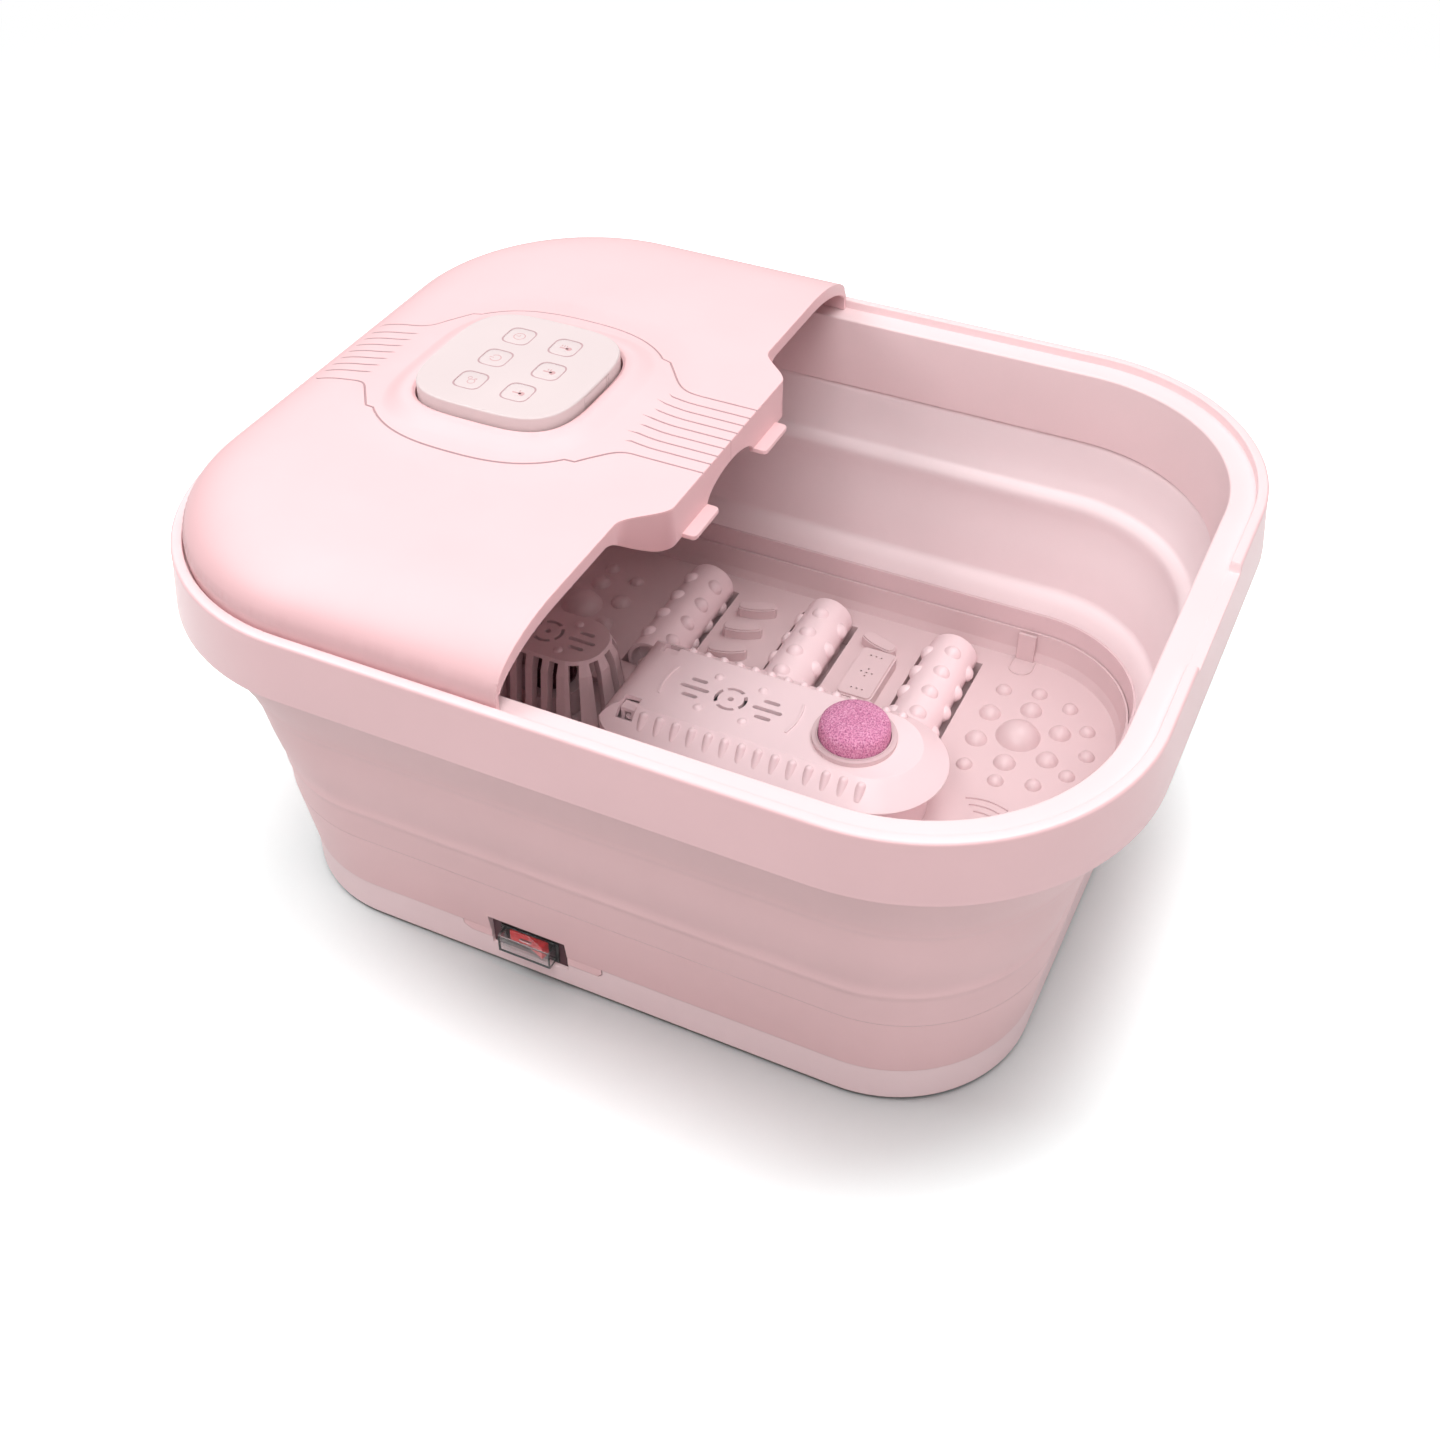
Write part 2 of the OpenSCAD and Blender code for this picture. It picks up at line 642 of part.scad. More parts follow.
// The slots of the two clips at the ridge's left end.
clip_x = ridge_left + 15.2;
clip_w = 9;
ridge_corner_r = 12;

module ridge_housing() {
  dive = 54;
  button_r = 2.2;
  button_x0 = -34.2;
  button_pitch = 8.8;
  color(trim_pink) difference() {
    union() {
      ridge_solid(0);
      for (s = [0, 1], i = [0:13]) mirror([0, s, 0])
        translate([button_x0 + i * button_pitch, ridge_top_half + 3.1, ridge_top_z - 2.4]) {
          sphere(button_r);
          rotate([-90 - dive, 0, 0]) cylinder(r = button_r, h = 7.5);
        }
      translate([0, 0, ridge_top_z]) vent_dots(12, 12.5);
      for (s = [0, 180]) rotate([0, 0, s]) translate([0, 0, ridge_top_z - eps]) linear_extrude(0.8)
        intersection() {
          difference() {
            circle(36.6);
            circle(35.4);
          }
          translate([30, -11]) square([10, 22]);
        }
    }
    ridge_end_cut();
    ridge_corner_cut(0);
    difference() {
      translate([0, 0, -eps]) ridge_solid(wall);
      translate([wall, 0, -wall]) ridge_end_cut();
      ridge_corner_cut(wall);
    }
    translate([0, 0, ridge_top_z - wall - 1]) linear_extrude(wall + 2) vent_plan(12, 27.5);
    translate([stone_x, 0, ridge_top_z - wall - 1]) cylinder(r = stone_r + cup_t + fit, h = wall + 2);
    for (s = [-1, 1]) translate([clip_x, s * (ridge_top_half + 0.5), ridge_top_z - 1.5])
      cube([clip_w, 12, 14], center = true);
  }
}

// Two S-shaped spring clips that hold the ridge's left end down.
module ridge_clips() {
  color(shell_pink) for (s = [0, 1]) mirror([0, s, 0])
    translate([clip_x, ridge_wall_half - wall - fit, 0]) rotate([90, 0, 0]) linear_extrude(6) {
      translate([-4.1, hump_top_z]) square([2, ridge_top_z - hump_top_z - 3]);
      translate([-4.1, ridge_top_z - 5]) square([7.6, 2]);
      translate([1.5, ridge_top_z - 8]) square([2, 5]);
      translate([-1.5, ridge_top_z - 9.5]) square([5, 2]);
    }
}

module stone_holder() {
  color(trim_pink) translate([stone_x, 0, 0]) difference() {
    union() {
      translate([0, 0, cup_floor_z - cup_t]) cylinder(r = stone_r + cup_t, h = 12);
      translate([0, 0, ridge_top_z]) cylinder(r = collar_r, h = 2.5);
    }
    translate([0, 0, cup_floor_z]) cylinder(r = stone_r + fit, h = 30);
    translate([0, 0, cup_floor_z - 5]) cylinder(r = 4, h = 10);
  }
}

module pumice_stone() {
  foot_z = cup_floor_z + 0.1;
  edge_z = ridge_top_z + 6;
  color("#D46BA8") translate([stone_x, 0, 0]) rotate_extrude() polygon(concat([[0, foot_z],
    [stone_r - 1, foot_z], [stone_r, foot_z + 1]],
    [for (a = [0:10:80]) [stone_r * pow(cos(a), 0.65), edge_z + (stone_top_z - edge_z) * pow(sin(a), 0.75)]],
    [[0, stone_top_z]]));
}

module cage_plan(half_x, half_y) {
  r = half_y - 1;
  square([2 * half_x - 2 * r, 2 * half_y], center = true);
  square([2 * half_x, 2 * half_y - 2 * r], center = true);
  for (sx = [-1, 1], sy = [-1, 1]) translate([sx * (half_x - r), sy * (half_y - r)]) circle(r, $fn = 32);
}

// The cage's outer form, drawn in by an inset for its inside.
module cage_form(inset) {
  hull() {
    translate([0, 0, board_z]) linear_extrude(1)
      cage_plan(cage_half_x + cage_flare - inset, cage_half_y + cage_flare - inset);
    translate([0, 0, cage_top_z - 9 - inset]) linear_extrude(1)
      cage_plan(cage_half_x + 1.5 - inset, cage_half_y + 1.5 - inset);
    translate([0, 0, cage_top_z - 3 - inset]) linear_extrude(3)
      cage_plan(cage_half_x - 2 - inset, cage_half_y - 2 - inset);
  }
}

module intake_cage() {
  slot_w = 5.2;
  slot_h = cage_h - 5;
  slot_pitch = 9;
  slot_turn = 33;
  round_x = cage_half_x - cage_half_y + 1;
  color("#C99AA0") translate([cage_x, 0, 0]) difference() {
    union() {
      cage_form(0);
      translate([0, 0, cage_top_z]) vent_dots(12, 11);
    }
    translate([0, 0, -eps]) cage_form(cage_wall);
    for (i = [-1.5:1.5], s = [0, 1]) mirror([0, s, 0])
      translate([i * slot_pitch - slot_w / 2, cage_half_y - 8, board_z + 3]) cube([slot_w, 20, slot_h]);
    for (k = [-2:2], s = [0, 1]) mirror([s, 0, 0])
      translate([round_x, 0, board_z + 3]) rotate([0, 0, k * slot_turn])
        translate([cage_half_y - 8, -slot_w / 2, 0]) cube([20, slot_w, slot_h]);
    translate([0, 0, cage_top_z - cage_wall - 1]) linear_extrude(cage_wall + 2) vent_plan(12, 27);
  }
}

module herb_tray() {
  color(trim_pink) translate([herb_x, herb_y, 0]) difference() {
    union() {
      translate([0, 0, tub_floor_z + 3]) linear_extrude(board_z - tub_floor_z - 2)
        round_rect(herb_w - 2 - 2 * fit, herb_l - 2 - 2 * fit, 2);
      translate([0, 0, board_z]) linear_extrude(1.2) round_rect(herb_w, herb_l, 3);
    }
    translate([0, 0, tub_floor_z + 4.2]) linear_extrude(board_z)
      round_rect(herb_w - 4.6, herb_l - 4.6, 1.5);
    for (i = [-2:2]) translate([0, i * 6.5, tub_floor_z]) cylinder(r = 1, h = 10);
  }
}

module herb_lid() {
  top_z = board_z + herb_h;
  color(trim_pink) translate([herb_x, herb_y, 0]) difference() {
    union() {
      translate([0, 0, board_z + 1.2 + 0.2]) linear_extrude(herb_h - 1.2 - 1.2)
        round_rect(herb_w, herb_l, 3);
      translate([0, 0, top_z - 1.1]) linear_extrude(1.1) round_rect(herb_w - 2, herb_l - 2, 2.5);
    }
    translate([0, 0, board_z]) linear_extrude(herb_h - 1.6) round_rect(herb_w - 3, herb_l - 3, 2);
    for (s = [-1, 1], i = [-1:1]) translate([i * 3, s * 14, top_z - 3]) cylinder(r = 0.6, h = 5);
    for (p = [[0, 0], [3, 0], [-3, 0], [0, 3], [0, -3]]) translate([p[0], p[1], top_z - 3])
      cylinder(r = 0.6, h = 5);
  }
}

// ---------- heater, pumps, motor and electronics ----------

motor_r = 11;
motor_z = 24;
motor_cx = 18;
motor_l = 36;
motor_posts = [[motor_cx - 12, 0], [motor_cx + 12, 0]];
board_cx = -40;
board_w = 70;
board_d = 38;
board_posts = [for (sx = [-1, 1], sy = [-1, 1]) [board_cx + sx * 30, sy * 14]];
pump_r = 12.5;
pump_l = 28;
heater_cx = -8;
heater_l = 68;
heater_w = 30;
heater_h = 5;
fin_pitch = 6;
fin_t = 1.2;
air_x = 56;
air_l = 30;
air_w = 28;
air_h = 26;
chip_l = 16;
chip_w = 18;
chip_h = 14;
block_l = 20;
block_w = 9;
block_h = 6.5;

module flow_heater() {
  color("#B9B9BE") translate([heater_cx, 0, hump_top_z]) {
    translate([-heater_l / 2, -heater_w / 2, 0]) cube([heater_l, heater_w, heater_h]);
    for (i = [-5:5]) translate([i * fin_pitch - fin_t / 2, 2 - heater_w / 2, heater_h - eps])
      cube([fin_t, heater_w - 4, 3]);
  }
}

module temperature_probe() {
  color("silver") translate([32, 0, hump_top_z]) {
    cylinder(r = 4, h = 1.5);
    cylinder(r = 2, h = 7);
  }
}

module pump_motor() {
  color("dimgray") translate([cage_x, 0, cover_floor_z]) {
    cylinder(r = pump_r, h = pump_l);
    cylinder(r = 5, h = pump_l + 3);
    cylinder(r = shaft_r, h = pump_hump_top_z - cover_floor_z + 13);
  }
}

module shaft_seal() {
  color("#333333") translate([cage_x, 0, pump_hump_top_z]) difference() {
    cylinder(r = 5, h = 2.5);
    translate([0, 0, -1]) cylinder(r = shaft_r + running, h = 5);
  }
}

module impeller() {
  color("white") translate([cage_x, 0, pump_hump_top_z + 3]) difference() {
    union() {
      cylinder(r = 4, h = 8);
      cylinder(r = 13, h = 1.5);
      for (a = [0:60:300]) rotate([0, 0, a]) translate([3, -0.75, 1]) rotate([0, 0, 12]) cube([9.5, 1.5, 6.5]);
    }
    translate([0, 0, -1]) cylinder(r = shaft_r + running, h = 20);
  }
}

module vibration_motor() {
  color("dimgray") translate([motor_cx - motor_l / 2, 0, motor_z]) rotate([0, 90, 0]) {
    cylinder(r = motor_r, h = motor_l);
    translate([0, 0, -2]) cylinder(r = 4, h = motor_l + 4);
    cylinder(r = shaft_r, h = motor_l + 12);
  }
}

module eccentric_weight() {
  color("silver") translate([motor_cx + motor_l / 2 + 3, 0, motor_z]) rotate([0, 90, 0]) difference() {
    union() {
      cylinder(r = 3.5, h = 7);
      intersection() {
        cylinder(r = 9, h = 7);
        translate([0, -10, 0]) cube([10, 20, 7]);
      }
    }
    translate([0, 0, -1]) cylinder(r = shaft_r + running, h = 10);
  }
}

module air_pump() {
  pipe_z = air_h + 6;
  color("#444444") translate([air_x, -air_w / 2, cover_floor_z]) {
    cube([air_l, air_w, air_h]);
    translate([air_l / 2, air_w / 2, 0]) {
      cylinder(r = 8, h = pipe_z);
      cylinder(r = 2.5, h = hump_top_z - wall - cover_floor_z - seat);
    }
  }
}

module control_board() {
  z = cover_floor_z + 2;
  color("seagreen") translate([board_cx - board_w / 2, -board_d / 2, z]) cube([board_w, board_d, 1.6]);
  color("#333333") translate([board_cx - 6, -chip_w / 2, z + 1.6]) cube([chip_l, chip_w, chip_h]);
  color("#333333") for (x = [20, 28]) translate([board_cx + x, 0, z + 1.6]) cylinder(r = 3.5, h = 16);
}

module terminal_block() {
  color("ivory") translate([gland_x - block_l / 2, corner_y + 20, cover_floor_z]) difference() {
    cube([block_l, block_w, block_h]);
    for (i = [0:2]) translate([block_l / 5 + i * 6, block_w / 2, 2]) cylinder(r = 1.6, h = block_h);
  }
}

// ---------- mains switch and cord inlet ----------

module switch_housing() {
  body_low = boot_low_z - 0.8;
  body_h = boot_h + 1.5;
  back_y = pocket_y - seat;
  color("#2B2326") difference() {
    union() {
      translate([switch_x - 15.5, switch_face_y + 1, body_low]) cube([31, back_y - switch_face_y - 1, body_h]);
      translate([switch_x - switch_hole_w / 2 + fit, switch_face_y, hole_z + fit])
        cube([switch_hole_w - 2 * fit, 1.4, switch_hole_h - 2 * fit]);
    }
    translate([switch_x - 12.5, switch_face_y - 1, switch_z - 3.8]) cube([25, 10.5, 7.6]);
    translate([switch_x, rocker_y, body_low - 1]) cylinder(r = 1.3, h = body_h + 2);
  }
}

module switch_rocker() {
  color("#D8232F") translate([switch_x, rocker_y, 0]) rotate([0, 0, -rocker_tilt]) {
    translate([0, 0, switch_z - 3.3]) linear_extrude(6.6)
      polygon([[-9.6, -7.4], [0, -5.4], [9.6, -7.4], [9.6, -3], [3, 2.6], [-3, 2.6], [-9.6, -3]]);
    translate([0, 0, boot_low_z + 0.3]) cylinder(r = 1.2, h = boot_h - 0.6);
  }
}

module switch_cover() {
  out = switch_face_y - front_y + boot_out;
  color([0.85, 0.9, 0.95, 0.35]) translate([switch_x, switch_face_y, boot_low_z]) difference() {
    union() {
      translate([-boot_half, -out, 0]) cube([2 * boot_half, out, boot_h]);
      translate([-boot_half - 1.5, -0.7, -1.2]) cube([2 * boot_half + 3, 0.7, boot_h + 2.4]);
    }
    translate([-boot_half + boot_wall, -out + boot_wall, boot_wall])
      cube([2 * (boot_half - boot_wall), out, boot_h - 2 * boot_wall]);
    translate([-3, -out + 2, boot_h - 2]) cube([6, 1, 3]);
  }
}

module cord_gland() {
  wall_y = corner_y + cover_off;
  color("#9C7B80") translate([gland_x, 0, gland_z]) rotate([-90, 0, 0]) difference() {
    union() {
      translate([0, 0, wall_y - cover_wall - 0.3]) cylinder(r = gland_r - 0.05, h = cover_wall + 1);
      translate([0, 0, wall_y]) cylinder(r1 = gland_r + 1.5, r2 = gland_r - 0.4, h = 3);
    }
    cylinder(r = cord_r, h = wall_y + 10);
  }
}

// ---------- lid ----------

// Where the lid's middle edge lies at a given y: straight, with a tongue in the middle.
function lid_edge(y) = lid_edge_x + tongue_l * (abs(y) <= tongue_half ? 1 : abs(y) >= root_half ? 0 :
  (1 + cos(180 * (abs(y) - tongue_half) / (root_half - tongue_half))) / 2);

// How low the tongue's skirt reaches at a given y: an arch in the middle, and it fades past the roots.
fade_half = root_half + 18;
function skirt_low(y) =
  abs(y) < tab_in_y ? tongue_skirt_z + (arch_z - tongue_skirt_z) * sqrt(1 - pow(y / tab_in_y, 2)) :
  abs(y) < root_half + 2 ? tongue_skirt_z :
  tongue_skirt_z + (lid_top_z - wall - tongue_skirt_z) * (abs(y) - root_half - 2) / (fade_half - root_half - 2);

edge_ys = concat([-root_half - 40], [for (y = [-root_half:2.875:-tongue_half]) y],
  [for (y = [tongue_half:2.875:root_half]) y], [root_half + 40]);

module lid_plan(inset) {
  side = corner_y + rim_corner_r + 20;
  far = -(corner_x + rim_corner_r + 20);
  polygon(concat([[far, -side], [lid_edge_x - inset, -side]],
    [for (y = edge_ys) [lid_edge(y) - inset, y]], [[lid_edge_x - inset, side], [far, side]]));
}

module lid_edge_profile() {
  rise = lid_top_z - lid_shoulder_z;
  start = lid_off - lid_curve_w;
  polygon(concat([[lid_off - wall, lid_foot_z], [lid_off, lid_foot_z]],
    [for (a = [0:9:90]) [start + lid_curve_w * cos(a), lid_shoulder_z + rise * sin(a)]],
    [for (a = [90:-9:0]) [start + (lid_curve_w - wall) * cos(a), lid_shoulder_z + (rise - wall) * sin(a)]]));
}

module lid_skirt() {
  intersection() {
    translate([0, 0, tongue_skirt_z - 1]) linear_extrude(lid_top_z - tongue_skirt_z)
      polygon(concat([for (i = [0:len(edge_ys) - 1]) [lid_edge(edge_ys[i]), edge_ys[i]]],
        [for (i = [len(edge_ys) - 1:-1:0]) [lid_edge(edge_ys[i]) - skirt_t, edge_ys[i]]]));
    translate([lid_edge_x - 5, 0, 0]) rotate([90, 0, 90]) linear_extrude(tongue_l + 10)
      polygon(concat([for (y = [-fade_half, -root_half - 2, -tab_in_y, -23.3, -21, -17, -12, -6, 0, 6, 12,
        17, 21, 23.3, tab_in_y, root_half + 2, fade_half]) [y, skirt_low(y)]], [[fade_half, lid_top_z - 1],
        [-fade_half, lid_top_z - 1]]));
  }
}

// The crown round the pad: a shallow dome, r wide and low_z at its foot, drawn down by an inset.
module crown(r, low_z, inset) {
  translate([pad_x, 0, 0]) rotate_extrude() polygon(concat([[0, low_z], [r, low_z]],
    [for (i = [10:-1:0]) [r * i / 10, crown_top(r * i / 10) - inset]]));
}

module lid() {
  color(trim_pink) difference() {
    union() {
      intersection() {
        difference() {
          union() {
            ring_sweep() lid_edge_profile();
            translate([0, 0, lid_top_z - wall]) linear_extrude(wall) outline(lid_off - lid_curve_w + eps);
            crown(crown_r, lid_top_z - 1, 0);
          }
          crown(crown_r - 2, lid_top_z - wall - 1, wall);
        }
        translate([0, 0, lid_foot_z - 1]) linear_extrude(lid_top_z + crown_rise - lid_foot_z + 2)
          lid_plan(0);
      }
      lid_skirt();
      translate([pad_x, 0, pad_low_z - seat - cradle_t])
        linear_extrude(lid_top_z + 3 - pad_low_z + seat + cradle_t)
          squircle(pad_half_x + 8, pad_half_y + 8, pad_power);
      for (s = [-1, 1]) translate([lid_edge_x + tongue_l + 2, s * (tab_in_y + tab_out_y) / 2, tongue_skirt_z])
        linear_extrude(2) round_rect(9, tab_out_y - tab_in_y, 2);
    }
    translate([pad_x, 0, pad_low_z - seat]) linear_extrude(20) squircle(pad_half_x + 1, pad_half_y + 1, pad_power);
    hull() {
      translate([pad_x, 0, pad_top_z - 12]) linear_extrude(1)
        squircle(pad_half_x + 1, pad_half_y + 1, pad_power);
      translate([pad_x, 0, pad_top_z - 9]) linear_extrude(6)
        squircle(pad_half_x + 10, pad_half_y + 10, pad_power);
    }
    for (i = [-3:3]) translate([line_x, i * line_pitch - line_w / 2, lid_top_z - 0.5])
      cube([lid_edge_x + tongue_l + 5 - line_x, line_w, crown_rise]);
  }
}

// ---------- control pad ----------

module pad_bottom_shell() {
  half_x = pad_half_x - 0.6;
  half_y = pad_half_y - 0.6;
  color(trim_pink) translate([pad_x, 0, pad_low_z]) difference() {
    linear_extrude(pad_split_z - pad_low_z) squircle(half_x, half_y, pad_power);
    difference() {
      translate([0, 0, pad_wall]) linear_extrude(pad_h) squircle(half_x - pad_wall, half_y - pad_wall, pad_power);
      for (sx = [-1, 1], sy = [-1, 1]) translate([sx * 25, sy * 27, 0]) cylinder(r = 3, h = pad_wall + 1.7);
    }
  }
}

module key_plan(grow) {
  round_rect(key_w + 2 * grow, key_h + 2 * grow, key_corner_r + grow);
}

module pad_top_shell() {
  inner_z = pad_top_z - pad_wall;
  color(trim_pink) difference() {
    hull() {
      translate([pad_x, 0, pad_split_z]) linear_extrude(pad_top_z - pad_split_z - 2.2)
        squircle(pad_half_x, pad_half_y, pad_power);
      translate([pad_x, 0, pad_top_z - 0.5]) linear_extrude(0.1)
        squircle(pad_half_x - 0.3, pad_half_y - 0.3, pad_power);
      translate([pad_x, 0, pad_top_z - 0.1]) linear_extrude(0.1)
        squircle(pad_half_x - 1, pad_half_y - 1, pad_power);
    }
    translate([pad_x, 0, pad_split_z - 1]) linear_extrude(inner_z - pad_split_z + 1)
      squircle(pad_half_x - pad_wall - 0.6, pad_half_y - pad_wall - 0.6, pad_power);
    for (p = key_columns) translate([p[0], p[1], inner_z - 1]) linear_extrude(10) key_plan(seat);
    translate([pad_x + pad_half_x - 10, -tray_half - seat, tray_low_z - 0.2])
      cube([20, 2 * (tray_half + seat), tray_h + 0.4]);
  }
}

module pad_board() {
  z = pad_low_z + pad_wall + 1.7;
  color("seagreen") translate([pad_x, 0, z]) linear_extrude(1.6) round_rect(64, 66, 14);
  color("silver") for (p = key_columns) translate([p[0], p[1], z + 1.6 - eps])
    cylinder(r = 2.2, h = 1);
}

// A key: a cap that fills its hole, a flange that keeps it in, and a stem over its contact dome.
module key_cap(i) {
  p = key_columns[i];
  dome_z = pad_low_z + pad_wall + 1.7 + 1.6 + 1 - eps;
  color(trim_pink) translate([p[0], p[1], 0]) {
    translate([0, 0, pad_top_z - pad_wall - 0.5]) linear_extrude(pad_wall + 0.5) key_plan(0);
    translate([0, 0, pad_top_z - pad_wall - 1]) linear_extrude(0.8) key_plan(0.9);
    translate([0, 0, dome_z + key_travel + 0.1])
      cylinder(r = 1.8, h = pad_top_z - pad_wall - 0.5 - dome_z - key_travel - 0.1);
  }
}

module battery_tray() {
  outer_x = pad_x + pad_half_x;
  color(trim_pink) difference() {
    union() {
      translate([outer_x - tray_l, -tray_half, tray_low_z]) cube([tray_l - 3, 2 * tray_half, tray_h]);
      intersection() {
        translate([pad_x, 0, tray_low_z]) linear_extrude(tray_h) squircle(pad_half_x - 0.2, pad_half_y, pad_power);
        translate([outer_x - 4, -tray_half, tray_low_z]) cube([6, 2 * tray_half, tray_h]);
      }
    }
    translate([outer_x - tray_l + 1 + cell_r + 0.2, 0, tray_low_z + 1]) cylinder(r = cell_r + 0.2, h = 10);
  }
}

module coin_cell() {
  color("silver") translate([pad_x + pad_half_x - tray_l + 1 + cell_r + 0.2, 0, tray_low_z + 1.05]) {
    cylinder(r = cell_r, h = cell_h - 0.6);
    translate([0, 0, cell_h - 0.6 - eps]) cylinder(r = cell_r - 1.2, h = 0.6);
  }
}

// ---------- assembly ----------

bottom_cover();
rubber_feet();
base_screws();
lower_tub();
bellows();
massage_board();
ridge_housing();
ridge_clips();
stone_holder();
pumice_stone();
intake_cage();
herb_tray();
herb_lid();
roller_axles();
far_roller(-1);  // roller_far_1
far_roller(0);  // roller_far_2
far_roller(1);  // roller_far_3
near_roller(-1);  // roller_near_1
near_roller(0);  // roller_near_2
near_roller(1);  // roller_near_3
flow_heater();
temperature_probe();
pump_motor();
shaft_seal();
impeller();
vibration_motor();
eccentric_weight();
air_pump();
control_board();
terminal_block();
switch_housing();
switch_rocker();
switch_cover();
cord_gland();
top_rim();
bellows_clamp();
lid();
pad_bottom_shell();
pad_top_shell();
pad_board();
key_cap(0);  // key_timer
key_cap(1);  // key_power
key_cap(2);  // key_bubbles
key_cap(3);  // key_heat_high
key_cap(4);  // key_heat_mid
key_cap(5);  // key_heat_low
battery_tray();
coin_cell();
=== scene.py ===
# %% [markdown]
# # A folding foot spa basin
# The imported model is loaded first: it is the fixed frame that all the looks are built around.
# Every piece below is worked out in millimetres and made in metres, in the same place as the solid that it
# dresses.

# %% Load the frame
import json
import math
import bmesh
import bpy
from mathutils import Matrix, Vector


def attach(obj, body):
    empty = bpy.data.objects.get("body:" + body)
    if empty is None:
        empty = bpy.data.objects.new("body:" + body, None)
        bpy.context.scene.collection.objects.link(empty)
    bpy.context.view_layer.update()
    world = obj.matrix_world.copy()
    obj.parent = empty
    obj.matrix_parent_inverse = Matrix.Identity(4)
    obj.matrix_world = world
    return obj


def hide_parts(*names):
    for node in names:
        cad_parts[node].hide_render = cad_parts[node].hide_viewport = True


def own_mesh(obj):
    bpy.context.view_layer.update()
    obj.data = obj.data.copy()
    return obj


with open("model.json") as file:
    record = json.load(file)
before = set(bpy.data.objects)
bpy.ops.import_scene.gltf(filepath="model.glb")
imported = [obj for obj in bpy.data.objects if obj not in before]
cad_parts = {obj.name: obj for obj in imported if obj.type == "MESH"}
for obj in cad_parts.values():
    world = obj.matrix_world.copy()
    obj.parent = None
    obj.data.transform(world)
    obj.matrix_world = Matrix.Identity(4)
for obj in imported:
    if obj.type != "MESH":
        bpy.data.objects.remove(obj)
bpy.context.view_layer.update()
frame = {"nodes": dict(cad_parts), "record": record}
MM = 0.001

# %% [markdown]
# ## Camera and light
# The basin is seen from its switch side, from the right and well above, as by a person who is about to
# step in. A soft panel overhead lights the lid and, through the opening, the floor of the basin. A second
# one at the left reaches the inner walls beyond the lid, one in front shows the creases of the folding
# wall, and a small one low on the right draws a bright line down the corner. The front panel leaves the
# pale floor out, so that the basin keeps its soft shadow there. A faint plain sky fills the shadows. A
# single hard lamp would be simpler, but satin plastic shows its form by slow gradients, and those need
# large lights.

# %% Camera
CAMERA_AT = Vector((0.2801, -0.5921, 0.6456))
LOOKS_AT = Vector((0.0, 0.0, 0.100))
scene = bpy.context.scene
camera = bpy.data.objects.new("camera", bpy.data.cameras.new("camera"))
scene.collection.objects.link(camera)
camera.location = CAMERA_AT
camera.rotation_euler = (LOOKS_AT - CAMERA_AT).to_track_quat("-Z", "Y").to_euler()
camera.data.sensor_width = 36
camera.data.lens = 44.395
camera.data.shift_x = -0.0074
camera.data.shift_y = -0.0498
camera.data.clip_start = 0.05
scene.camera = camera
scene.view_settings.view_transform = "Standard"
print("camera distance:", round((LOOKS_AT - CAMERA_AT).length, 3), "m")


# %% Lamps and sky
def soft_lamp(name, place, size, watts):
    """A square panel of light of that size, facing the basin."""
    lamp = bpy.data.lights.new(name, "AREA")
    lamp.shape = "SQUARE"
    lamp.size = size
    lamp.energy = watts
    holder = bpy.data.objects.new(name, lamp)
    scene.collection.objects.link(holder)
    holder.location = place
    holder.rotation_euler = (LOOKS_AT - Vector(place)).to_track_quat("-Z", "Y").to_euler()
    return holder


soft_lamp("overhead_panel", (0.32, 0.40, 1.55), 0.9, 11.0)
soft_lamp("shoulder_panel", (-0.92, -0.28, 1.35), 0.8, 9.7)
front_panel = soft_lamp("front_panel", (0.25, -1.00, 1.40), 0.9, 13.9)
soft_lamp("corner_strip", (1.50, -0.10, 0.35), 0.5, 2.6)


def seen_directly(nodes, links):
    """A socket that is 1 for what the camera sees itself or in metal, gloss and glass, and 0 for light."""
    path = nodes.new("ShaderNodeLightPath")
    share = path.outputs["Is Camera Ray"]
    for ray in ("Is Glossy Ray", "Is Transmission Ray"):
        larger = nodes.new("ShaderNodeMath")
        larger.operation = "MAXIMUM"
        links.new(share, larger.inputs[0])
        links.new(path.outputs[ray], larger.inputs[1])
        share = larger.outputs[0]
    return share


SKY_STRENGTH = 0.12
WHITE_STRENGTH = 1.0


def studio_sky():
    """The world: a faint white as light, and plain white where it is seen."""
    sky = bpy.data.worlds.new("studio")
    sky.use_nodes = True
    nodes, links = sky.node_tree.nodes, sky.node_tree.links
    nodes.clear()
    out = nodes.new("ShaderNodeOutputWorld")
    mix = nodes.new("ShaderNodeMixShader")
    links.new(seen_directly(nodes, links), mix.inputs[0])
    for socket, strength in ((1, SKY_STRENGTH), (2, WHITE_STRENGTH)):
        glow = nodes.new("ShaderNodeBackground")
        glow.inputs["Color"].default_value = (1, 1, 1, 1)
        glow.inputs["Strength"].default_value = strength
        links.new(glow.outputs[0], mix.inputs[socket])
    links.new(mix.outputs[0], out.inputs["Surface"])
    return sky


scene.world = studio_sky()

# %% [markdown]
# ## Floor
# A pale sheet under the basin. It keeps the basin's shadow, and the camera, mirrors and glass see it in
# a paler colour than the other pieces do, and plain white far from the basin, so no lamp has to be turned
# up for the background. Where the floor meets the basin, painted shade darkens its colour as in a corner.

# %% Floor
FLOOR_HALF = 3.0                   # half the sheet's width
FLOOR_GREY = 0.95                  # its colour for the light that it throws back
FLOOR_SEEN = (2.08, 2.30, 2.29)    # its colour where it is seen
PALE_FROM, PALE_TO = 0.55, 1.3     # from the middle: where it starts and ends turning plain white
CONTACT_SHADE_REACH = 0.07                  # how near a piece has to be to deepen the colour


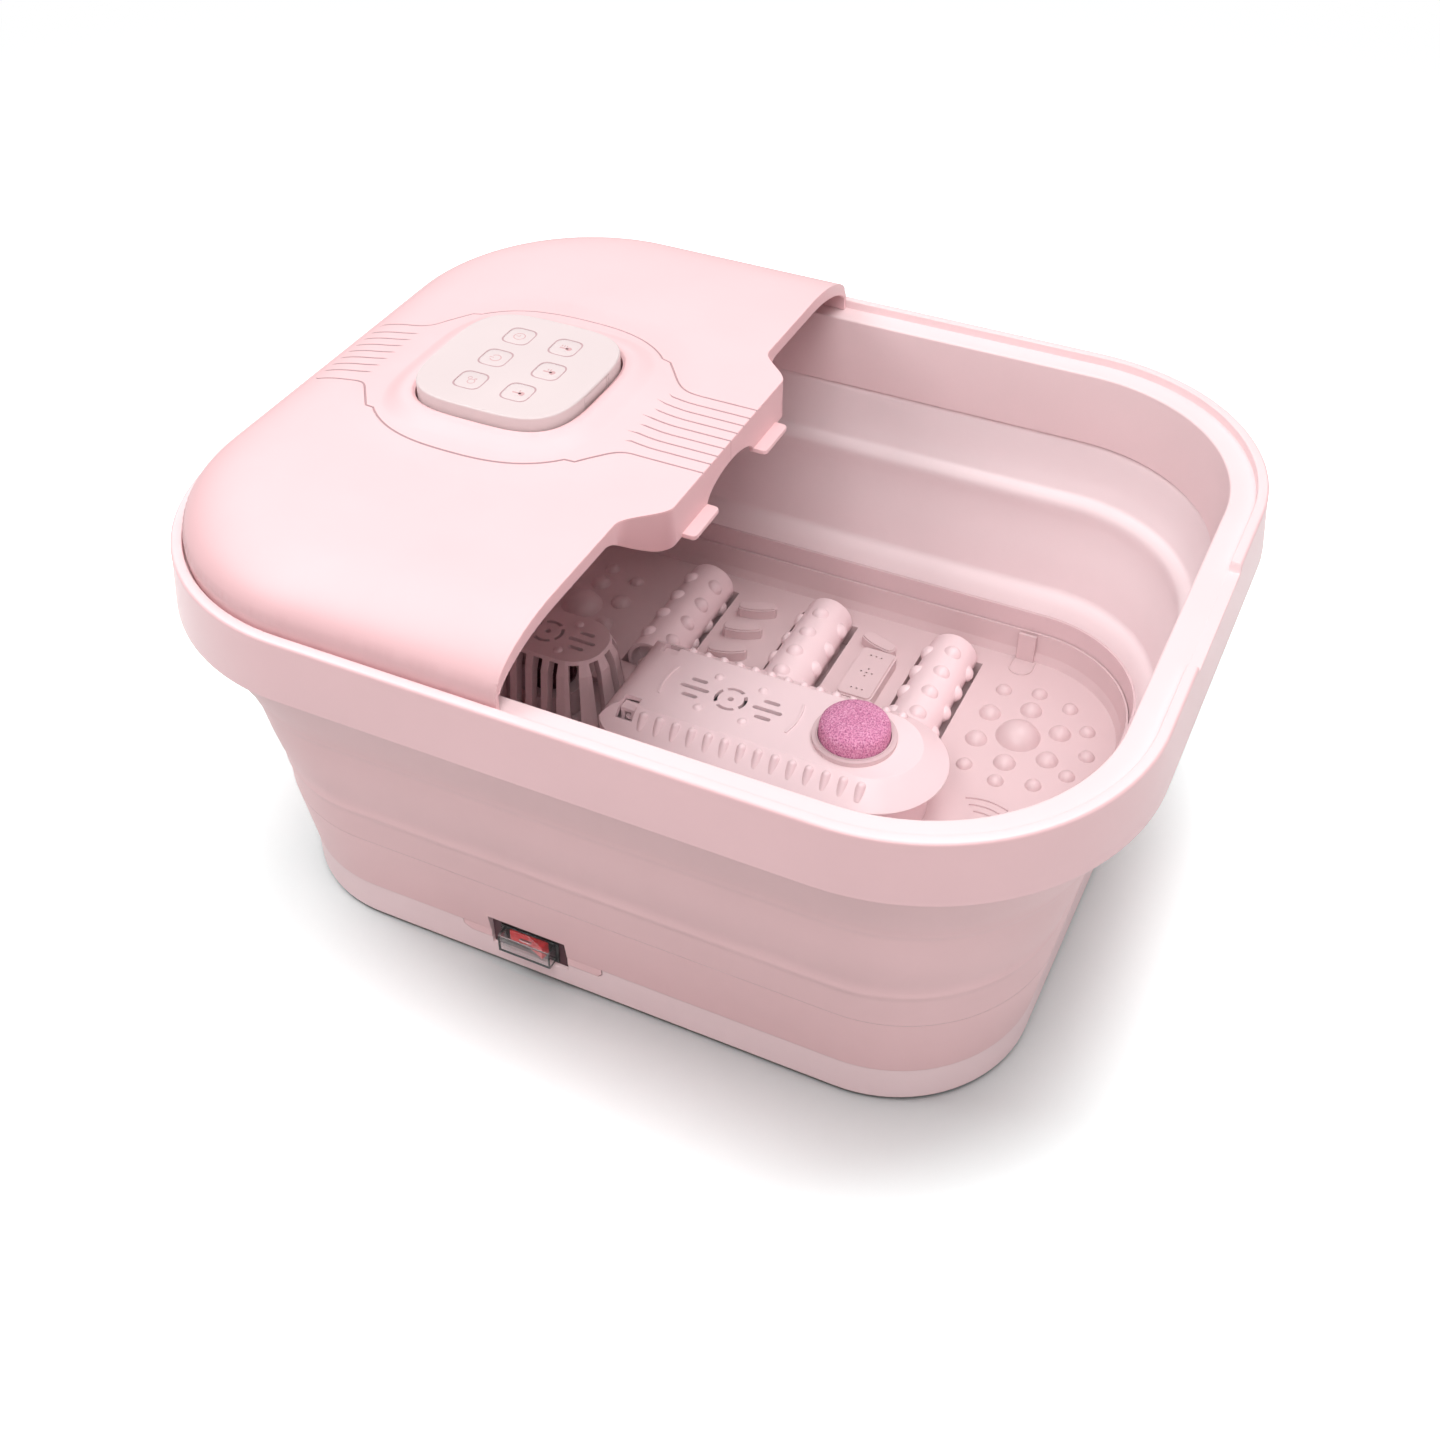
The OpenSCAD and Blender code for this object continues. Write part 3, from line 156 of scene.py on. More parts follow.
def new_finish(name):
    """A new material, its nodes and its links."""
    finish = bpy.data.materials.new(name)
    finish.use_nodes = True
    return finish, finish.node_tree.nodes, finish.node_tree.links


def floor_sheet():
    """The floor: a square sheet just under the rubber feet."""
    mesh = bpy.data.meshes.new("floor")
    s = FLOOR_HALF
    mesh.from_pydata([(-s, -s, 0), (s, -s, 0), (s, s, 0), (-s, s, 0)], [], [(0, 1, 2, 3)])
    sheet = bpy.data.objects.new("floor", mesh)
    scene.collection.objects.link(sheet)
    finish, nodes, links = new_finish("pale_floor")
    nodes.clear()
    out = nodes.new("ShaderNodeOutputMaterial")
    matt = nodes.new("ShaderNodeBsdfDiffuse")
    shade = nodes.new("ShaderNodeMix")
    shade.data_type = "RGBA"
    shade.inputs[6].default_value = (FLOOR_GREY, FLOOR_GREY, FLOOR_GREY, 1)
    place = nodes.new("ShaderNodeTexCoord")
    reach = nodes.new("ShaderNodeVectorMath")
    reach.operation = "LENGTH"
    spread = nodes.new("ShaderNodeMapRange")
    spread.interpolation_type = "SMOOTHSTEP"
    spread.inputs["From Min"].default_value = PALE_FROM
    spread.inputs["From Max"].default_value = PALE_TO
    # Painted shade: ambient occlusion darkens the floor's seen colour near the basin.
    painted_contact_shade = nodes.new("ShaderNodeAmbientOcclusion")
    painted_contact_shade.inputs["Distance"].default_value = CONTACT_SHADE_REACH
    painted_contact_shade.inputs["Color"].default_value = (*FLOOR_SEEN, 1)
    far = nodes.new("ShaderNodeEmission")
    weight = nodes.new("ShaderNodeMath")
    weight.operation = "MULTIPLY"
    both = nodes.new("ShaderNodeMixShader")
    seen = seen_directly(nodes, links)
    links.new(place.outputs["Object"], reach.inputs[0])
    links.new(reach.outputs["Value"], spread.inputs["Value"])
    links.new(spread.outputs["Result"], weight.inputs[0])
    links.new(seen, weight.inputs[1])
    links.new(painted_contact_shade.outputs["Color"], shade.inputs[7])
    links.new(seen, shade.inputs[0])
    links.new(shade.outputs[2], matt.inputs["Color"])
    links.new(weight.outputs[0], both.inputs[0])
    links.new(matt.outputs[0], both.inputs[1])
    links.new(far.outputs[0], both.inputs[2])
    links.new(both.outputs[0], out.inputs["Surface"])
    mesh.materials.append(finish)
    return sheet


floor = floor_sheet()
left_out = bpy.data.collections.new("left_out_by_front_panel")
left_out.objects.link(floor)
front_panel.light_linking.receiver_collection = left_out
left_out.collection_objects[0].light_linking.link_state = "EXCLUDE"
print("floor half width:", FLOOR_HALF, "m")

# %% [markdown]
# ## Finishes
# Nearly all of the basin is pink polypropylene, moulded with a fine satin grain. A painter could use one
# flat pink, but the real mouldings differ a little in colour and gloss from part to part, and the grain
# breaks up their reflections, so each moulding gets its own pink, a slow mottling and a fine bump. The
# board's pink is also deepened as painted shade, and the band's is paled as painted light. Faces that look
# away from the basin's middle get a deeper pink, painted shade found from the face's direction.

# %% Moulded plastic
MOTTLE, MOTTLE_SCALE = 0.04, 22.0        # how far a colour drifts, as a share, and patches to the metre
GRAIN_SIZE, GRAIN_DEPTH = 0.45, 0.06     # the mould's grain, in millimetres


def outward_painted_shade(nodes, links):
    """A socket that is 1 on faces that look away from the basin's upright axis and 0 on the others: where
    painted shade goes.
    """
    face = nodes.new("ShaderNodeNewGeometry")
    level = nodes.new("ShaderNodeVectorMath")
    level.operation = "MULTIPLY"
    level.inputs[1].default_value = (1, 1, 0)
    from_axis = nodes.new("ShaderNodeVectorMath")
    from_axis.operation = "NORMALIZE"
    same_way = nodes.new("ShaderNodeVectorMath")
    same_way.operation = "DOT_PRODUCT"
    share = nodes.new("ShaderNodeMapRange")
    share.interpolation_type = "SMOOTHSTEP"
    share.inputs["From Min"].default_value = 0.1
    share.inputs["From Max"].default_value = 0.6
    links.new(face.outputs["Position"], level.inputs[0])
    links.new(level.outputs[0], from_axis.inputs[0])
    links.new(from_axis.outputs[0], same_way.inputs[0])
    links.new(face.outputs["Normal"], same_way.inputs[1])
    links.new(same_way.outputs["Value"], share.inputs["Value"])
    return share.outputs["Result"]


def mottled(nodes, links, drift, colour):
    """A socket with the colour drifting up and down."""
    ramp = nodes.new("ShaderNodeMix")
    ramp.data_type = "RGBA"
    ramp.inputs[6].default_value = (*[c * (1 - MOTTLE) for c in colour], 1)
    ramp.inputs[7].default_value = (*[min(1.0, c * (1 + MOTTLE)) for c in colour], 1)
    links.new(drift.outputs["Fac"], ramp.inputs[0])
    return ramp.outputs[2]


def satin_plastic(name, colour, outside=None, *, rough, grain=0.25, sheen=0.0, edge=0.0):
    """Moulded plastic: a colour (linear RGB) that drifts a little, and a fine grain.

    Outside is the deeper colour painted as shade on faces that look outward. With an edge radius, in
    millimetres, sharp edges are shaded as if they were rounded.
    """
    finish, nodes, links = new_finish(name)
    shader = nodes["Principled BSDF"]
    shader.inputs["Roughness"].default_value = rough
    shader.inputs["Sheen Weight"].default_value = sheen
    place = nodes.new("ShaderNodeTexCoord")
    drift = nodes.new("ShaderNodeTexNoise")
    drift.inputs["Scale"].default_value = MOTTLE_SCALE
    drift.inputs["Detail"].default_value = 3.0
    links.new(place.outputs["Object"], drift.inputs["Vector"])
    tone = mottled(nodes, links, drift, colour)
    # painted shade: faces that look outward get the deeper second colour
    if outside:
        both = nodes.new("ShaderNodeMix")
        both.data_type = "RGBA"
        links.new(outward_painted_shade(nodes, links), both.inputs[0])
        links.new(tone, both.inputs[6])
        links.new(mottled(nodes, links, drift, outside), both.inputs[7])
        tone = both.outputs[2]
    links.new(tone, shader.inputs["Base Color"])
    fine = nodes.new("ShaderNodeTexNoise")
    fine.inputs["Scale"].default_value = 1 / (GRAIN_SIZE * MM)
    fine.inputs["Detail"].default_value = 1.0
    bump = nodes.new("ShaderNodeBump")
    bump.inputs["Strength"].default_value = grain
    bump.inputs["Distance"].default_value = GRAIN_DEPTH * MM
    links.new(place.outputs["Object"], fine.inputs["Vector"])
    links.new(fine.outputs["Fac"], bump.inputs["Height"])
    links.new(bump.outputs["Normal"], shader.inputs["Normal"])
    if edge:
        soft = nodes.new("ShaderNodeBevel")
        soft.samples = 4
        soft.inputs["Radius"].default_value = edge * MM
        links.new(soft.outputs["Normal"], bump.inputs["Normal"])
    return finish


def linear(code):
    """A web colour such as FFEEDD as linear RGB."""
    parts = [int(code[i:i + 2], 16) / 255 for i in (0, 2, 4)]
    return tuple(c / 12.92 if c <= 0.04045 else ((c + 0.055) / 1.055) ** 2.4 for c in parts)


# Where a finish has a second colour, it is painted shade for the faces that look outward.
LID_PINK = satin_plastic("lid_plastic", linear("F6CDD0"), linear("E6B9BC"), rough=0.45)
RIM_PINK = satin_plastic("rim_plastic", linear("F8DCDE"), linear("F7CBCE"), rough=0.38)
TUB_PINK = satin_plastic("tub_plastic", linear("E6CBCE"), linear("F9CED0"), rough=0.40, edge=0.5)
# The band's pink is paled: its own colour plus painted light for the light thrown up from the floor.
BAND_PINK_AND_LIGHT = satin_plastic("band_plastic", linear("FFE0E2"), rough=0.42, edge=0.5)
# The board's pink is deepened: its own colour plus painted shade for the part of it under the lid.
BOARD_PINK_AND_SHADE = satin_plastic("board_plastic", linear("E2C9CB"), rough=0.38, edge=0.35)
RIDGE_PINK = satin_plastic("ridge_plastic", linear("FBE3E6"), rough=0.38, edge=0.5)
PAD_PINK = satin_plastic("pad_plastic", linear("DFCFCF"), rough=0.40)
# The groove's darker pink is painted shade: it goes into the engraved lines and over the pad's key gaps.
GROOVE_PAINTED_SHADE = satin_plastic("groove_painted_shade", linear("BF9CA0"), rough=0.5)
# The lid's underside is a darker pink than the lid: painted shade, so that less light reaches under the lid.
UNDERSIDE_PAINTED_SHADE = satin_plastic("lid_underside_painted_shade", linear("A8757A"), rough=0.6)
RUBBER_PINK = satin_plastic("folding_rubber", linear("F9E6E8"), linear("F7CDCF"), rough=0.55, grain=0.15,
                            sheen=0.1)
print("finishes:", len(bpy.data.materials))

# %% [markdown]
# ### Harder finishes
# The pumice is foamed resin with open pores in a grainy face, so fine specks break up its colour, and
# pores and specks together its surface. The rocker is glossy coloured plastic under a clear boot. The
# steel, motor, heater and circuit finishes are for the pieces that show when the basin is taken apart.


# %% Pumice, metals, clear plastic and rubber
def plain(name, colour, rough, metal=0.0, glass=0.0, coat=0.0):
    """A plain finish with a little unevenness in its gloss."""
    finish, nodes, links = new_finish(name)
    shader = nodes["Principled BSDF"]
    shader.inputs["Base Color"].default_value = (*colour, 1)
    shader.inputs["Metallic"].default_value = metal
    shader.inputs["Transmission Weight"].default_value = glass
    shader.inputs["Coat Weight"].default_value = coat
    shader.inputs["IOR"].default_value = 1.47
    place = nodes.new("ShaderNodeTexCoord")
    drift = nodes.new("ShaderNodeTexNoise")
    drift.inputs["Scale"].default_value = 140.0
    drift.inputs["Detail"].default_value = 2.0
    spread = nodes.new("ShaderNodeMapRange")
    spread.inputs["To Min"].default_value = rough * 0.85
    spread.inputs["To Max"].default_value = rough * 1.15
    links.new(place.outputs["Object"], drift.inputs["Vector"])
    links.new(drift.outputs["Fac"], spread.inputs["Value"])
    links.new(spread.outputs["Result"], shader.inputs["Roughness"])
    return finish


def pumice_finish():
    """Foamed resin: speckled magenta with pores."""
    finish, nodes, links = new_finish("pumice")
    shader = nodes["Principled BSDF"]
    shader.inputs["Roughness"].default_value = 0.9
    place = nodes.new("ShaderNodeTexCoord")
    cells = nodes.new("ShaderNodeTexVoronoi")
    cells.inputs["Scale"].default_value = 900.0
    speck = nodes.new("ShaderNodeTexNoise")
    speck.inputs["Scale"].default_value = 1300.0
    speck.inputs["Detail"].default_value = 2.0
    links.new(place.outputs["Object"], cells.inputs["Vector"])
    links.new(place.outputs["Object"], speck.inputs["Vector"])
    colours = nodes.new("ShaderNodeValToRGB")
    stops = colours.color_ramp.elements
    stops[0].position, stops[0].color = 0.30, (*linear("B05C88"), 1)
    stops[1].position, stops[1].color = 0.72, (*linear("FBC6E2"), 1)
    middle = stops.new(0.50)
    middle.color = (*linear("E693BC"), 1)
    links.new(speck.outputs["Fac"], colours.inputs["Fac"])
    links.new(colours.outputs["Color"], shader.inputs["Base Color"])
    height = nodes.new("ShaderNodeMath")
    height.operation = "ADD"
    links.new(cells.outputs["Distance"], height.inputs[0])
    links.new(speck.outputs["Fac"], height.inputs[1])
    bump = nodes.new("ShaderNodeBump")
    bump.inputs["Strength"].default_value = 0.9
    bump.inputs["Distance"].default_value = 0.0004
    links.new(height.outputs[0], bump.inputs["Height"])
    links.new(bump.outputs["Normal"], shader.inputs["Normal"])
    return finish


PUMICE = pumice_finish()
# The dark maroon is partly the part's own dark colour and partly painted shade: the tint of the pink switch
# recess in shade.
DARK_PLASTIC_AND_SHADE = plain("dark_plastic", linear("4A262E"), 0.5)
RED_PLASTIC = plain("red_plastic", linear("E0141C"), 0.18, coat=0.5)
CLEAR_PLASTIC = plain("clear_plastic", (0.97, 0.98, 0.98), 0.05, glass=0.97)
STEEL = plain("steel", linear("C8C9CC"), 0.28, metal=1.0)
MOTOR_METAL = plain("motor_metal", linear("9A9A9E"), 0.42, metal=1.0)
HEATER_METAL = plain("heater_metal", linear("D4D5D8"), 0.36, metal=1.0)
CIRCUIT_GREEN = plain("circuit_green", linear("1F6B45"), 0.3)
FOOT_RUBBER = plain("foot_rubber", linear("A98289"), 0.75)
PRINT_INK = plain("print_ink", linear("D2A6A8"), 0.5)
print("finishes:", len(bpy.data.materials))

# %% Dress the carried-over solids
SLOT_FINISH = {
    "lid_plastic": LID_PINK, "rim_plastic": RIM_PINK, "tub_plastic": TUB_PINK, "band_plastic": BAND_PINK_AND_LIGHT,
    "board_plastic": BOARD_PINK_AND_SHADE, "folding_rubber": RUBBER_PINK, "pad_plastic": PAD_PINK,
    "key_plastic": PAD_PINK, "pumice": PUMICE, "dark_plastic": DARK_PLASTIC_AND_SHADE, "red_plastic": RED_PLASTIC,
    "clear_plastic": CLEAR_PLASTIC, "steel": STEEL, "motor_metal": MOTOR_METAL,
    "heater_metal": HEATER_METAL, "circuit_green": CIRCUIT_GREEN, "foot_rubber": FOOT_RUBBER,
}
slot_of = {s["node"]: s["material_slot"] for s in frame["record"]["subparts"]}
for node, thing in frame["nodes"].items():
    finish = RIDGE_PINK if node.startswith(("roller_", "ridge_")) else SLOT_FINISH[slot_of[node]]
    for holder in thing.material_slots:
        holder.material = finish
print("dressed solids:", len(frame["nodes"]))

# %% [markdown]
# ## Shapes shared by the mouldings
# Rim and folding wall follow one outline: four quarter circles joined by straights. On the real basin each
# is moulded as a closed ring, so each is made here by sweeping one rounded profile round that outline. A
# box with bevelled corners would be quicker, but its profile could not change on the way round, and the
# rim's finger gaps need that.

# %% Profiles and sweeps
CORNER_X, CORNER_Y = 118.0, 78.0    # the centres of the outline's four quarter circles


def rounded(corners, steps=4):
    """A closed outline from (x, y, radius) corners, each radius drawn as an arc of that many steps."""
    made = []
    count = len(corners)
    for i, (x, y, r) in enumerate(corners):
        here = Vector((x, y))
        before = Vector(corners[i - 1][:2]) - here
        after = Vector(corners[(i + 1) % count][:2]) - here
        if r <= 0:
            made.append((x, y))
            continue
        half = before.angle(after) / 2
        reach = min(r / math.tan(half), before.length * 0.48, after.length * 0.48)
        start = here + before.normalized() * reach
        end = here + after.normalized() * reach
        for k in range(steps + 1):
            t = k / steps
            made.append(tuple(start * (1 - t) ** 2 + here * 2 * t * (1 - t) + end * t * t))
    return made


def smooth_line(points, steps):
    """A smooth open line through (x, y) points."""
    made = []
    ends = [points[0]] + list(points) + [points[-1]]
    for a, b, c, d in zip(ends, ends[1:], ends[2:], ends[3:]):
        for k in range(steps):
            t = k / steps
            made.append(tuple(0.5 * (2 * q + (r - p) * t + (2 * p - 5 * q + 4 * r - s) * t ** 2
                                     + (3 * q - p - 3 * r + s) * t ** 3) for p, q, r, s in zip(a, b, c, d)))
    made.append(tuple(points[-1]))
    return made


def places(extra_y=(), arc_steps=28):
    """Stops round the outline: (x, y) on the corner centres' rectangle and the outward direction."""
    xs = [-CORNER_X + i * CORNER_X / 6 for i in range(1, 12)]
    ys = sorted(set([-CORNER_Y + i * CORNER_Y / 4 for i in range(1, 8)] + list(extra_y)))
    stops = []

    def corner(cx, cy, turn):
        for i in range(arc_steps + 1):
            a = math.radians(turn + 90 * i / arc_steps)
            stops.append((cx, cy, math.cos(a), math.sin(a)))

    corner(CORNER_X, CORNER_Y, 0)
    stops.extend((x, CORNER_Y, 0, 1) for x in reversed(xs))
    corner(-CORNER_X, CORNER_Y, 90)
    stops.extend((-CORNER_X, y, -1, 0) for y in reversed(ys))
    corner(-CORNER_X, -CORNER_Y, 180)
    stops.extend((x, -CORNER_Y, 0, -1) for x in xs)
    corner(CORNER_X, -CORNER_Y, 270)
    stops.extend((CORNER_X, y, 1, 0) for y in ys)
    return stops


def piece(name, verts, faces, finish, sharp=35):
    """A mesh object from millimetre vertices, smooth but for edges sharper than that angle."""
    mesh = bpy.data.meshes.new(name)
    mesh.from_pydata([(x * MM, y * MM, z * MM) for x, y, z in verts], [], faces)
    build = bmesh.new()
    build.from_mesh(mesh)
    bmesh.ops.remove_doubles(build, verts=build.verts, dist=1e-7)
    bmesh.ops.recalc_face_normals(build, faces=build.faces)
    build.to_mesh(mesh)
    build.free()
    mesh.shade_smooth()
    mesh.set_sharp_from_angle(angle=math.radians(sharp))
    thing = bpy.data.objects.new(name, mesh)
    scene.collection.objects.link(thing)
    mesh.materials.append(finish)
    return thing


def swept(name, profile_at, stops, finish, sharp=35):
    """A closed ring: profile_at(stop) gives the (distance out, height) outline there."""
    verts, faces = [], []
    for stop in stops:
        cx, cy, nx, ny = stop
        profile = profile_at(stop)
        verts.extend((cx + nx * off, cy + ny * off, z) for off, z in profile)
    n, m = len(stops), len(verts) // len(stops)
    for i in range(n):
        for j in range(m):
            a, b = i * m + j, i * m + (j + 1) % m
            c, d = ((i + 1) % n) * m + (j + 1) % m, ((i + 1) % n) * m + j
            faces.append((a, b, c, d))
    return piece(name, verts, faces, finish, sharp)


def ease(t):
    """0 below 0, 1 above 1, and a smooth step between."""
    t = max(0.0, min(1.0, t))
    return t * t * (3 - 2 * t)


print("stops round the outline:", len(places()))

# %% [markdown]
# ## Top rim
# The rim is the stiff ring that the lid rests on and that both hands pull up. A real one is a single
# moulding with a lip outside, a ledge for the lid and a collar inside, and its lip is cut away at the two
# short ends for the fingers. Its edges are rounded by about a millimetre, which catches the light.

# %% Rim
GAP_HALF, GAP_EASE, GAP_SINK = 36.0, 0.8, 4.1    # the finger gaps' half width, soft ends and depth
LIP_OUT, LIP_IN, LIP_TOP = 102.0, 97.0, 196.5
LEDGE_TOP, LEDGE_UNDER = 192.3, 189.4
COLLAR_FOOT, OUTER_FOOT = 155.1, 166.9


def rim_profile(stop):
    """The rim's section; the lip sinks to the ledge inside the finger gaps."""
    cy, nx = stop[1], stop[2]
    in_gap = abs(nx) > 0.999 and abs(cy) < GAP_HALF + GAP_EASE
    sink = ease((GAP_HALF + GAP_EASE - abs(cy)) / (2 * GAP_EASE)) if in_gap else 0.0
    lip = LIP_TOP - GAP_SINK * sink
    return rounded([(LIP_OUT, lip, 1.7), (LIP_IN, lip, 0.6), (LIP_IN - 0.05 * sink, LEDGE_TOP, 0.3),
                    (85.5, LEDGE_TOP, 1.3), (83.5, COLLAR_FOOT, 0.7), (86.0, COLLAR_FOOT, 0.5),
                    (88.0, LEDGE_UNDER, 0.4), (99.4, LEDGE_UNDER, 0.4), (102.6, OUTER_FOOT, 0.4),
                    (104.9, OUTER_FOOT, 0.9), (102.2, 191.8, 8.0)])


gap_ys = [s * (GAP_HALF + d) for s in (-1, 1) for d in (-GAP_EASE, -GAP_EASE / 2, 0, GAP_EASE / 2, GAP_EASE)]
rim = swept("rim_ring", rim_profile, places(extra_y=gap_ys), RIM_PINK)
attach(rim, "rim")
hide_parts("top_rim")
print("rim:", len(rim.data.vertices), "points")

# %% [markdown]
# ## Folding wall
# The wall is one band of soft rubber with two creases where it folds when the rim is pushed down. Moulded
# rubber keeps a small bead along each crease, and that bead is the bright line seen along the wall. At the
# short ends the band is drawn in a little between its two stiff rings. It could be a cloth simulation, but
# a swept profile holds the same crease on every side, as the mould does.

# %% Folding wall
OUTER_RUNS = [
    [(72.0, 58.2), (72.6, 62), (73.9, 70), (75.0, 77.5)],
    [(75.9, 79.3), (76.2, 81.0), (76.1, 83)],
    [(77.0, 88), (79.3, 97), (81.2, 108), (82.0, 118), (82.3, 123)],
    [(83.5, 125.3), (83.9, 127.2), (84.2, 129.2)],
    [(87.4, 137), (92.4, 148), (97.0, 158.5), (97.9, 163), (97.9, 188.5)],
]
INNER_RUNS = [
    [(95.2, 188.5), (95.2, 163), (90.0, 158.0), (85.4, 153.6), (84.0, 145), (82.6, 135), (81.0, 129),
     (80.2, 126.3), (79.2, 125.2)],
    [(77.6, 124.2), (75.6, 121.6), (75.2, 118.0), (76.0, 111), (75.4, 100), (73.6, 88), (72.2, 76),
     (71.6, 70.5)],
    [(70.4, 68.9), (67.0, 65.6), (64.6, 61.6), (63.2, 58.2)],
]
wall_profile = [point for run in OUTER_RUNS + INNER_RUNS for point in smooth_line(run, 3)]

# Height, and how far the wall is drawn in there at the end under the lid; the open end has a share of it.
DRAWN_IN = [(58, 0.0), (66, 2.5), (74, 4.5), (82, 6.0), (95, 7.0), (108, 6.0), (116, 4.0), (122, 2.0),
            (128, 0.0)]
OPEN_END_SHARE = 0.35


def drawn_in(z):
    """How far the wall is drawn in at that height at the end under the lid."""
    for (low, a), (high, b) in zip(DRAWN_IN, DRAWN_IN[1:]):
        if low <= z <= high:
            return a + (b - a) * (z - low) / (high - low)
    return 0.0


def wall_section(stop):
    """The wall's section; the short ends are drawn in a little, the one under the lid more."""
    nx = stop[2]
    share = nx * nx * (1.0 if nx < 0 else OPEN_END_SHARE)
    return [(off - share * drawn_in(z), z) for off, z in wall_profile]


folding_wall = swept("folding_wall", wall_section, places(), RUBBER_PINK, sharp=60)
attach(folding_wall, "tub")
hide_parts("bellows")
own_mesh(folding_wall)
print("folding wall:", len(wall_profile), "points in its profile")

# %% [markdown]
# ## Half lid
# The lid is a thin moulded shell. Its edge rolls down to the rim, the middle rises in a low crown and once
# more in a lip round the pad, and fine lines are engraved in its face. A cut from a solid block would give
# the outline but not the soft crown, and a painted line would not catch the light, so the face is one
# height function over a net of triangles whose edges follow every engraved line.

# %% Nets of triangles
from mathutils.geometry import delaunay_2d_cdt


def net(border, lines, fill):
    """Triangles inside a border, with every line kept as edges.

    Returns the points, the triangles, and for the border and each line its points' numbers.
    """
    points, edges, starts = [], [], []

    def add(line, closed):
        first = len(points)
        starts.append((first, len(line)))
        points.extend(Vector(p) for p in line)
        edges.extend((first + i, first + i + 1) for i in range(len(line) - 1))
        if closed:
            edges.append((first + len(line) - 1, first))

    add(border, True)
    for line, closed in lines:
        add(line, closed)
    points.extend(Vector(p) for p in fill)
    made = delaunay_2d_cdt(points, edges, [list(range(len(border)))], 1, 1e-4)
    became = {old: new for new, olds in enumerate(made[3]) for old in olds}
    numbers = [[became.get(first + i) for i in range(count)] for first, count in starts]
    return [tuple(p) for p in made[0]], [tuple(f) for f in made[2]], numbers


def middle_of(points, triangle):
    """The middle of a net's triangle."""
    return [sum(points[i][k] for i in triangle) / 3 for k in (0, 1)]


def beside(line, gap, closed=False):
    """The line moved sideways by a gap."""
    moved = []
    count = len(line)
    for i, (x, y) in enumerate(line):
        a = line[i - 1] if (closed or i > 0) else line[i]
        b = line[(i + 1) % count] if (closed or i < count - 1) else line[i]
        along = Vector((b[0] - a[0], b[1] - a[1])).normalized()
        moved.append((x - along.y * gap, y + along.x * gap))
    return moved


print("triangles in a plain square:", len(net([(0, 0), (1, 0), (1, 1), (0, 1)], [], [])[1]))

# %% The lid's face
LID_OUT = 96.0                        # from the corner centres' rectangle to the lid's outer edge
ROLL_FROM, ROLL_WIDTH = 48.0, 48.0    # where the face starts to roll down, and over what width
EDGE_TOP, FACE_RISE = 200.0, 18.0
CROWN_OUT, CROWN_SLOPE, CROWN_RISE, CROWN_POWER = 80.0, 30.0, 3.4, 2.57
PAD_LIP_OUT, PAD_LIP_SLOPE, PAD_LIP_RISE = 15.0, 11.0, 3.0
WELL_EDGE_OUT, WELL_EDGE_SLOPE, WELL_EDGE_DROP = 2.2, 1.5, 0.9
PAD_X, PAD_HALF_X, PAD_HALF_Y, PAD_POWER = -106.0, 40.0, 41.0, 3.6
LID_EDGE_X, TONGUE = -16.5, 16.5
TONGUE_HALF, ROOT_HALF = 55.0, 77.0


def free_edge(y):
    """Where the lid's free edge lies along X: straight, with a tongue in the middle."""
    return LID_EDGE_X + TONGUE * ease((ROOT_HALF - abs(y)) / (ROOT_HALF - TONGUE_HALF))


def outward(x, y):
    """How far a point lies outside the corner centres' rectangle."""
    dx, dy = abs(x) - CORNER_X, abs(y) - CORNER_Y
    if dx <= 0 and dy <= 0:
        return max(dx, dy)
    return math.hypot(max(dx, 0), max(dy, 0))


def pad_distance(x, y):
    """Distance from the pad's centre, counted along a rounded square."""
    return (abs(x - PAD_X) ** CROWN_POWER + abs(y) ** CROWN_POWER) ** (1 / CROWN_POWER)


def from_pad(x, y):
    """About how far a point lies outside the pad's side."""
    reach = (abs(x - PAD_X) / PAD_HALF_X) ** PAD_POWER + (abs(y) / PAD_HALF_Y) ** PAD_POWER
    return PAD_HALF_X * reach ** (1 / PAD_POWER) - PAD_HALF_X


def lid_height(x, y):
    """The lid's face: rolled edge, low crown, and a lip that rises to the pad and rounds into its well."""
    roll = max(0.0, min(1.0, (outward(x, y) - ROLL_FROM) / ROLL_WIDTH))
    level = math.sqrt(max(0.0, 1 - roll ** 2.1))
    gap = from_pad(x, y)
    crown = CROWN_RISE * ease((CROWN_OUT - pad_distance(x, y)) / CROWN_SLOPE) * level
    lip = (PAD_LIP_RISE * ease((PAD_LIP_OUT - gap) / PAD_LIP_SLOPE)
           - WELL_EDGE_DROP * ease((WELL_EDGE_OUT - gap) / WELL_EDGE_SLOPE))
    return EDGE_TOP + FACE_RISE * level + crown + lip


def lid_normal(x, y):
    """The face's normal, from its slope."""
    step = 0.05
    slope_x = (lid_height(x + step, y) - lid_height(x - step, y)) / (2 * step)
    slope_y = (lid_height(x, y + step) - lid_height(x, y - step)) / (2 * step)
    return Vector((-slope_x, -slope_y, 1)).normalized()


def pad_square(half_x, half_y, power, steps):
    """A rounded square round the pad's centre."""
    ring = []
    for i in range(steps):
        a = 2 * math.pi * i / steps
        c, s = math.cos(a), math.sin(a)
        reach = 1 / ((abs(c) / half_x) ** power + (abs(s) / half_y) ** power) ** (1 / power)
        ring.append((PAD_X + reach * c, reach * s))
    return ring


def pad_outline(gap, steps):
    """The pad's outline, moved outward by a gap."""
    return pad_square(PAD_HALF_X + gap, PAD_HALF_Y + gap, PAD_POWER, steps)


print("lid's face beside the pad:", round(lid_height(PAD_X + PAD_HALF_X + 4, 0), 2), "mm high")

